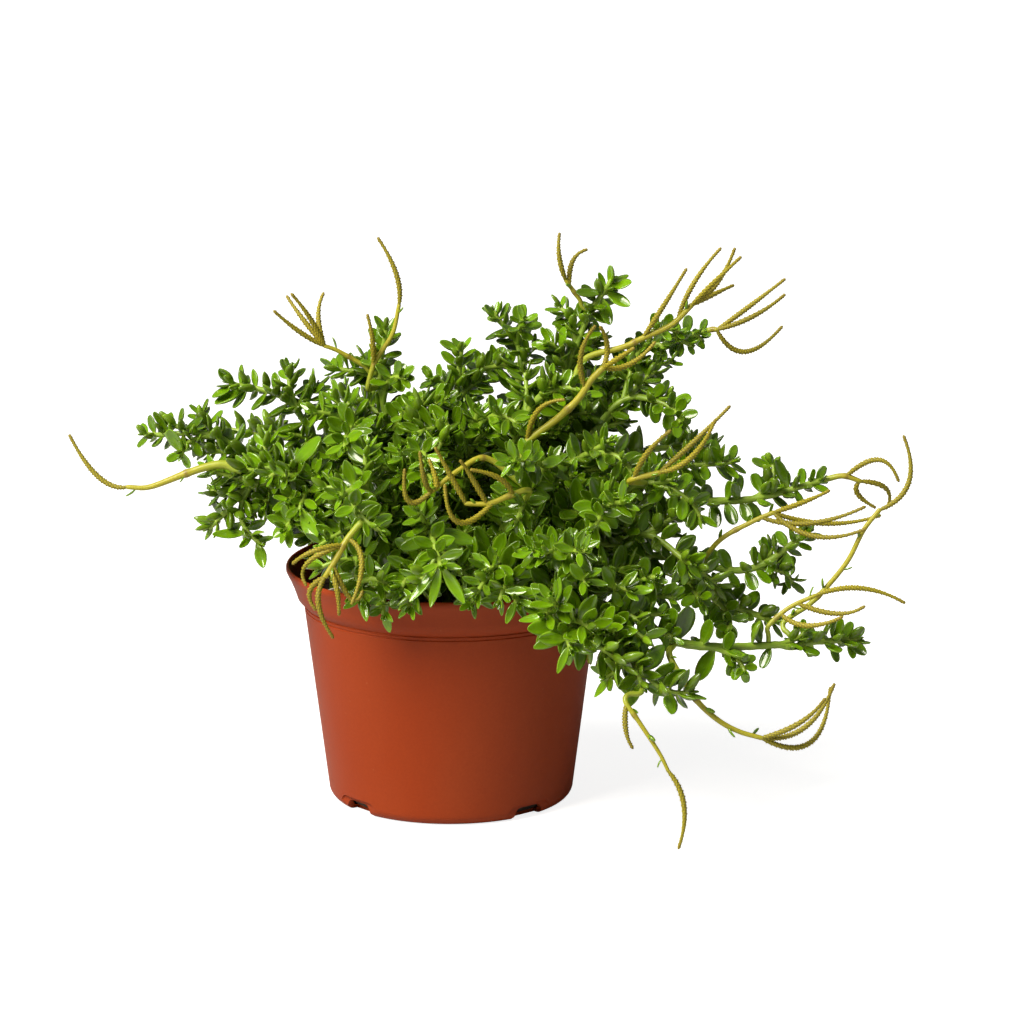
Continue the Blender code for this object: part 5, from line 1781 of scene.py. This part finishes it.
def turned(profile, sides):
    """Vertices and faces of a profile turned round the Z axis, its two ends on the axis."""
    verts = [(0.0, 0.0, profile[0][1])]
    for radius, height in profile[1:-1]:
        for corner in range(sides):
            angle = math.tau * (corner + 0.5) / sides
            verts.append((radius * math.cos(angle), radius * math.sin(angle), height))
    verts.append((0.0, 0.0, profile[-1][1]))
    rings = len(profile) - 2
    faces = ring_faces(rings, sides, 1)
    low = 1 + (rings - 1) * sides
    for corner in range(sides):
        after = (corner + 1) % sides
        faces.append((0, 1 + after, 1 + corner))
        faces.append((low + corner, low + after, len(verts) - 1))
    return verts, faces


def mesh_piece(name, verts, faces, surface):
    """A piece of one finish from points in millimetres."""
    mesh = bpy.data.meshes.new(name)
    mesh.from_pydata((np.array(verts) * MM).tolist(), [], faces)
    mesh.materials.append(surface)
    return in_scene(name, mesh)


def cut_notches(pot):
    """Cut four drain notches through the bottom corner, each inside a shallow recess."""
    for quarter in range(4):
        angle = math.radians(45.0 + 90.0 * quarter + NOTCH_TURN)
        out = Vector((math.sin(angle), -math.cos(angle), 0.0))
        side = Vector((-out.y, out.x, 0.0))
        for width, height, depth in NOTCHES:
            near = out * (wall_radius(0.0) - depth)
            far = out * (wall_radius(0.0) + 10.0)
            rim = [side * width * across + UP * (height * up if up > 0 else up)
                   for across, up in NOTCH_OUTLINE]
            verts = [place + point for place in (near, far) for point in rim]
            count = len(rim)
            faces = [tuple(reversed(range(count))), tuple(range(count, 2 * count))]
            faces += [(i, (i + 1) % count, count + (i + 1) % count, count + i) for i in range(count)]
            cutter = mesh_piece("notch", verts, faces, pot.data.materials[0])
            boolean = pot.modifiers.new("notch", "BOOLEAN")
            boolean.operation = "DIFFERENCE"
            boolean.solver = "EXACT"
            boolean.object = cutter
            apply_modifiers(pot)
            bpy.data.objects.remove(cutter)


def apply_modifiers(piece):
    """Put the result of the piece's modifiers into its mesh."""
    depsgraph = bpy.context.evaluated_depsgraph_get()
    result = bpy.data.meshes.new_from_object(piece.evaluated_get(depsgraph))
    piece.modifiers.clear()
    old = piece.data
    piece.data = result
    bpy.data.meshes.remove(old)
    result.name = piece.name


# Rings of points on the soil's top, and points in each
SOIL_RINGS = 44
SOIL_SIDES = 160
# Soil heaped against the front left wall: its height, the radius it rises from and over, and its
# bearing and spread round the pot in degrees
HEAP = 11.5
HEAP_FROM = 48.0
HEAP_RUN = 18.0
HEAP_BEARING = 225.0
HEAP_SPREAD = 24.0
# Pale grains: their radius, how far out they lie, and how far round and out in degrees and
# millimetres those along the front left wall lie, which are every third one
GRAIN_SIZE = (0.7, 1.7)
GRAINS_OUT = 65.0
WALL_GRAINS_ROUND = (204.0, 244.0)
WALL_GRAINS_OUT = (54.0, 66.5)


class PEPEROMIA_OT_soil(bpy.types.Operator):
    """Fill the pot with crumbly soil and strew pale mineral grains over it"""
    bl_idname = "peperomia.soil"
    bl_label = "Soil"

    def execute(self, context):
        settings = context.scene.peperomia_soil
        inner = wall_radius(0.0) - WALL - SOIL_GAP
        top_out = inner + WALL_TAPER * BAND_BOTTOM + 1.2
        profile = [
            (0.0, FLOOR + SOIL_GAP), (wall_radius(CORNER_RADIUS) - CORNER_RADIUS - 0.8, FLOOR + SOIL_GAP),
            (inner + WALL_TAPER * (CORNER_RADIUS + 1.0) - 0.2, CORNER_RADIUS + 2.2),
            (inner + WALL_TAPER * BAND_BOTTOM - 0.1, BAND_BOTTOM - 0.6),
        ]
        profile += [(top_out * (1.0 - ring / SOIL_RINGS), SOIL_TOP) for ring in range(SOIL_RINGS)]
        profile.append((0.0, SOIL_TOP))
        verts, faces = turned(profile, SOIL_SIDES)
        heaped = []
        for x, y, z in verts:
            if z >= SOIL_TOP:
                z = soil_height(x, y, settings.relief / MM)
            heaped.append((x, y, z))
        soil = mesh_piece("potting_soil", heaped, faces, soil_surface(settings))
        soil.data.shade_smooth()
        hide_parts("soil")
        grains = soil_grains(settings)
        for piece in (soil, grains):
            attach(piece, "root")
        return {"FINISHED"}


def soil_height(x, y, relief):
    """Height of the soil's lumpy top."""
    place = Vector((x, y, 0.0))
    coarse = noise.noise(place / 11.0)
    fine = noise.noise(place / 2.7 + Vector((7.0, 0.0, 3.0)))
    bearing = math.degrees(math.atan2(y, x)) % 360.0
    rise = min(1.0, max(0.0, (math.hypot(x, y) - HEAP_FROM) / HEAP_RUN))
    heap = HEAP * math.exp(-((bearing - HEAP_BEARING) / HEAP_SPREAD) ** 2) * rise**2 * (3.0 - 2.0 * rise)
    return SOIL_TOP + heap + relief * (0.45 * coarse + 0.4 * fine)


def soil_grains(settings):
    """Pale angular grains, half sunk into the soil, closer together along the front left wall."""
    draw = random.Random(GRAIN_SEED)
    parts = MeshParts()
    for number in range(settings.grains):
        if number % 3 == 0:
            angle = math.radians(draw.uniform(*WALL_GRAINS_ROUND))
            out = draw.uniform(*WALL_GRAINS_OUT)
        else:
            angle = draw.uniform(0.0, math.tau)
            out = GRAINS_OUT * math.sqrt(draw.random())
        centre = Vector((out * math.cos(angle), out * math.sin(angle), 0.0))
        size = draw.uniform(*GRAIN_SIZE)
        centre.z = soil_height(centre.x, centre.y, settings.relief / MM) + size * 0.35
        lump = bmesh.new()
        bmesh.ops.create_icosphere(lump, subdivisions=2, radius=1.0)
        verts = []
        for vert in lump.verts:
            rough = 1.0 + 0.45 * noise.noise(vert.co * 1.3 + Vector((number * 3.1, 0.0, 0.0)))
            verts.append(centre + Vector((vert.co.x, vert.co.y, vert.co.z * 0.75)) * size * rough)
        faces = [tuple(vert.index for vert in face.verts) for face in lump.faces]
        parts.add(verts, faces, 0, [(0.5, 0.5, 0.5, 0.5)] * len(verts))
        lump.free()
    return parts.finish("soil_grains", [grain_surface(settings)], 40.0)


# How much longer a finished leaf is than the one that holds its place: every leaf, more for the
# leaves of small-leaved stems, and more for the star of leaves at a tip, fading with the distance
LEAF_STRETCH = 1.05
SMALL_STRETCH = 0.6
STAR_STRETCH = 0.3
STAR_FADE = 5.0
# How much broader it is, how much more on small-leaved stems, and on which stems still more
PLUMP = 1.08
SMALL_PLUMP = 1.2
BROAD_STEMS = {
    "stem_rim_hanging": 0.3, "stem_rim_low": 0.3, "stem_right_under": 0.2, "stem_lower_right": 0.15,
}
# Greatest breadth of a leaf as a share of its length
BROADEST = 0.54
# Share of the full size under which a stem's leaves count as small
SMALL_FROM = 0.93
# Distance from the tip over which leaves age, and the least age of a leaf in view from a distance on
AGE_FADE = 22.0
AGED_FROM = 24.0
OLD_AGE = 0.8
# How blunt a leaf is: the range, and more for small and for aged ones
BLUNT = (0.05, 0.4)
SMALL_BLUNT = 3.0
AGED_BLUNT = 0.15
# How sharply leaves are folded
FOLD = (0.2, 0.4)
# How far leaves turn their faces to the light: the range, and more for small leaves and those in view
TO_LIGHT = (0.4, 1.1)
SMALL_TO_LIGHT = 2.0
SEEN_TO_LIGHT = 4.0


class PEPEROMIA_OT_stems(bpy.types.Operator):
    """Grow the leafy stems with all their leaves"""
    bl_idname = "peperomia.stems"
    bl_label = "Leafy stems"

    def execute(self, context):
        settings = context.scene.peperomia_leaf
        plant = grow_plant()
        surfaces = [stem_surface(settings), leaf_surface(settings)]
        draw = random.Random(FINISH_SEED)
        for node in sorted({strand.node for strand in plant["stems"]}):
            parts = MeshParts()
            for number, strand in enumerate(plant["stems"]):
                if strand.node == node:
                    stem_parts(parts, strand, number)
                    bud_parts(parts, strand, number)
                    for leaf in plant["leaves"][id(strand)]:
                        finish_leaf(parts, leaf, draw)
            piece = parts.finish("leafy_" + node, surfaces)
            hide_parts(node)
            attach(piece, "root")
        return {"FINISHED"}


def finish_leaf(parts, leaf, draw):
    """Give a placed leaf its full size and its form, by its age and its stem, and add it."""
    small = 1.0 - min(SMALL_FROM, leaf.strand.leaf_factor) / SMALL_FROM
    age = 1.0 - math.exp(-leaf.distance / AGE_FADE)
    star = STAR_STRETCH * math.exp(-leaf.distance / STAR_FADE)
    if leaf.seen:
        star = 0.0
        if leaf.distance > AGED_FROM:
            age = max(age, OLD_AGE)
    leaf.length *= LEAF_STRETCH + SMALL_STRETCH * small + star
    blunt = min(1.0, draw.uniform(*BLUNT) + SMALL_BLUNT * small + AGED_BLUNT * age)
    plump = PLUMP + SMALL_PLUMP * small + BROAD_STEMS.get(leaf.strand.node, 0.0)
    leaf.width = min(leaf.width, BROADEST * leaf.length / plump)
    tone = draw.random()
    fold = draw.uniform(*FOLD)
    to_light = draw.uniform(*TO_LIGHT) + SMALL_TO_LIGHT * small + (SEEN_TO_LIGHT if leaf.seen else 0.0)
    leaf_parts(parts, leaf, 1, tone, age, fold, blunt, plump, to_light)


class PEPEROMIA_OT_sprays(bpy.types.Operator):
    """Grow the flower sprays, each a pale stalk with grainy spikes"""
    bl_idname = "peperomia.sprays"
    bl_label = "Flower sprays"

    def execute(self, context):
        settings = context.scene.peperomia_spray
        plant = grow_plant()
        surfaces = [
            stalk_surface(settings), spike_surface(settings),
            leaf_surface(context.scene.peperomia_leaf),
        ]
        sprays = [strand for strand in plant["strands"] if strand.kind in ("stalk", "spike")]
        for node in sorted({strand.node for strand in sprays}):
            parts = MeshParts()
            for number, strand in enumerate(sprays):
                if strand.node == node:
                    grow = stalk_parts if strand.kind == "stalk" else spike_parts
                    grow(parts, strand, number)
            piece = parts.finish("flowering_" + node, surfaces)
            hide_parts(node)
            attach(piece, "root")
        return {"FINISHED"}


# Widths of the photographed frame that one metre spans at the target, per metre of distance
FRAME_SCALE = 2.1695 * 1000 / 1024
# The point that the camera and the large light face, in millimetres, and half the floor's width
TARGET = (28.4, 0.0, 134.1)
FLOOR_HALF = 20000
WHITE = (1.0, 1.0, 1.0, 1.0)
# Brightness of the bare background, and of the floor's glow outside the camera's view
BACKGROUND = 1.1
FLOOR_GLOW = 0.85
# Large light: place and width in metres, and the soft light from above: its spread and its tilt
KEY_PLACE = (-1.53, -1.29, 2.1)
KEY_SIZE = 1.5
TOP_SPREAD = 25.0
TOP_TILT = (18.0, -22.0, 0.0)


class PEPEROMIA_OT_stage(bpy.types.Operator):
    """Set up the pale floor, the soft lights and the camera"""
    bl_idname = "peperomia.stage"
    bl_label = "Stage"

    def execute(self, context):
        settings = context.scene.peperomia_stage
        scene = context.scene
        made = Surface("studio_floor")
        seen = made.tree.nodes.new("ShaderNodeLightPath").outputs["Is Camera Ray"]
        made.shade(base_color=rgb(settings.floor), roughness=0.9, emission_color=WHITE,
                   emission_strength=made.span(seen, 0.0, 1.0, 0.0, FLOOR_GLOW))
        corners = [(x * FLOOR_HALF, y * FLOOR_HALF, 0) for x, y in ((-1, -1), (1, -1), (1, 1), (-1, 1))]
        floor = mesh_piece("studio_floor", corners, [(0, 1, 2, 3)], made.material)

        world = bpy.data.worlds.new("studio")
        world.use_nodes = True
        tree = world.node_tree
        soft = tree.nodes["Background"]
        soft.inputs["Color"].default_value = WHITE
        soft.inputs["Strength"].default_value = settings.sky
        white = tree.nodes.new("ShaderNodeBackground")
        white.inputs["Strength"].default_value = BACKGROUND
        seen = tree.nodes.new("ShaderNodeLightPath")
        both = tree.nodes.new("ShaderNodeMixShader")
        tree.links.new(seen.outputs["Is Camera Ray"], both.inputs["Fac"])
        tree.links.new(soft.outputs["Background"], both.inputs[1])
        tree.links.new(white.outputs["Background"], both.inputs[2])
        tree.links.new(both.outputs["Shader"], tree.nodes["World Output"].inputs["Surface"])
        scene.world = world
        scene.view_settings.view_transform = "Standard"

        target = Vector(TARGET) * MM
        add_light("key_light", KEY_PLACE, target, KEY_SIZE, settings.key)
        sun = bpy.data.lights.new("top_light", "SUN")
        sun.angle = math.radians(TOP_SPREAD)
        sun.energy = settings.top
        sun.color = (1.0, 0.97, 0.9)
        lamp = in_scene("top_light", sun)
        lamp.rotation_euler = [math.radians(tilt) for tilt in TOP_TILT]

        camera = bpy.data.cameras.new("camera")
        camera.lens = camera.sensor_width * FRAME_SCALE * settings.distance
        camera.clip_end = 20.0
        seat = in_scene("camera", camera)
        seat.rotation_euler = (math.radians(90.0) - settings.elevation, 0.0, 0.0)
        back = Vector((0.0, -math.cos(settings.elevation), math.sin(settings.elevation)))
        seat.location = target + back * settings.distance
        scene.camera = seat
        return {"FINISHED"}


def add_light(name, place, target, size, power):
    """A square, slightly warm light that faces the target."""
    light = bpy.data.lights.new(name, "AREA")
    light.color = (1.0, 0.95, 0.85)
    light.size = size
    light.energy = power
    lamp = in_scene(name, light)
    lamp.location = place
    lamp.rotation_euler = (target - Vector(place)).to_track_quat("-Z", "Y").to_euler()


class PEPEROMIA_PT_panel(bpy.types.Panel):
    """Sizes, colours and steps of the potted peperomia"""
    bl_idname = "PEPEROMIA_PT_panel"
    bl_label = "Potted peperomia"
    bl_space_type = "VIEW_3D"
    bl_region_type = "UI"
    bl_category = "Peperomia"

    def draw(self, context):
        for part, settings in SETTINGS.items():
            box = self.layout.box()
            group = getattr(context.scene, "peperomia_" + part)
            for name in settings.__annotations__:
                box.prop(group, name)
        for step in STEPS:
            self.layout.operator(step.bl_idname)


SETTINGS = {
    "pot": PotSettings, "soil": SoilSettings, "leaf": LeafSettings, "spray": SpraySettings,
    "stage": StageSettings,
}
STEPS = [
    PEPEROMIA_OT_pot, PEPEROMIA_OT_soil, PEPEROMIA_OT_stems, PEPEROMIA_OT_sprays, PEPEROMIA_OT_stage,
]


def register():
    for settings in SETTINGS.values():
        bpy.utils.register_class(settings)
    for step in (*STEPS, PEPEROMIA_PT_panel):
        bpy.utils.register_class(step)
    for part, settings in SETTINGS.items():
        setattr(bpy.types.Scene, "peperomia_" + part, bpy.props.PointerProperty(type=settings))


def unregister():
    for part in SETTINGS:
        delattr(bpy.types.Scene, "peperomia_" + part)
    for step in (PEPEROMIA_PT_panel, *reversed(STEPS)):
        bpy.utils.unregister_class(step)
    for settings in reversed(SETTINGS.values()):
        bpy.utils.unregister_class(settings)


def main():
    register()
    bpy.ops.peperomia.pot()
    bpy.ops.peperomia.soil()
    bpy.ops.peperomia.stems()
    bpy.ops.peperomia.sprays()
    bpy.ops.peperomia.stage()
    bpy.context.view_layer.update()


if __name__ == "__main__":
    main()
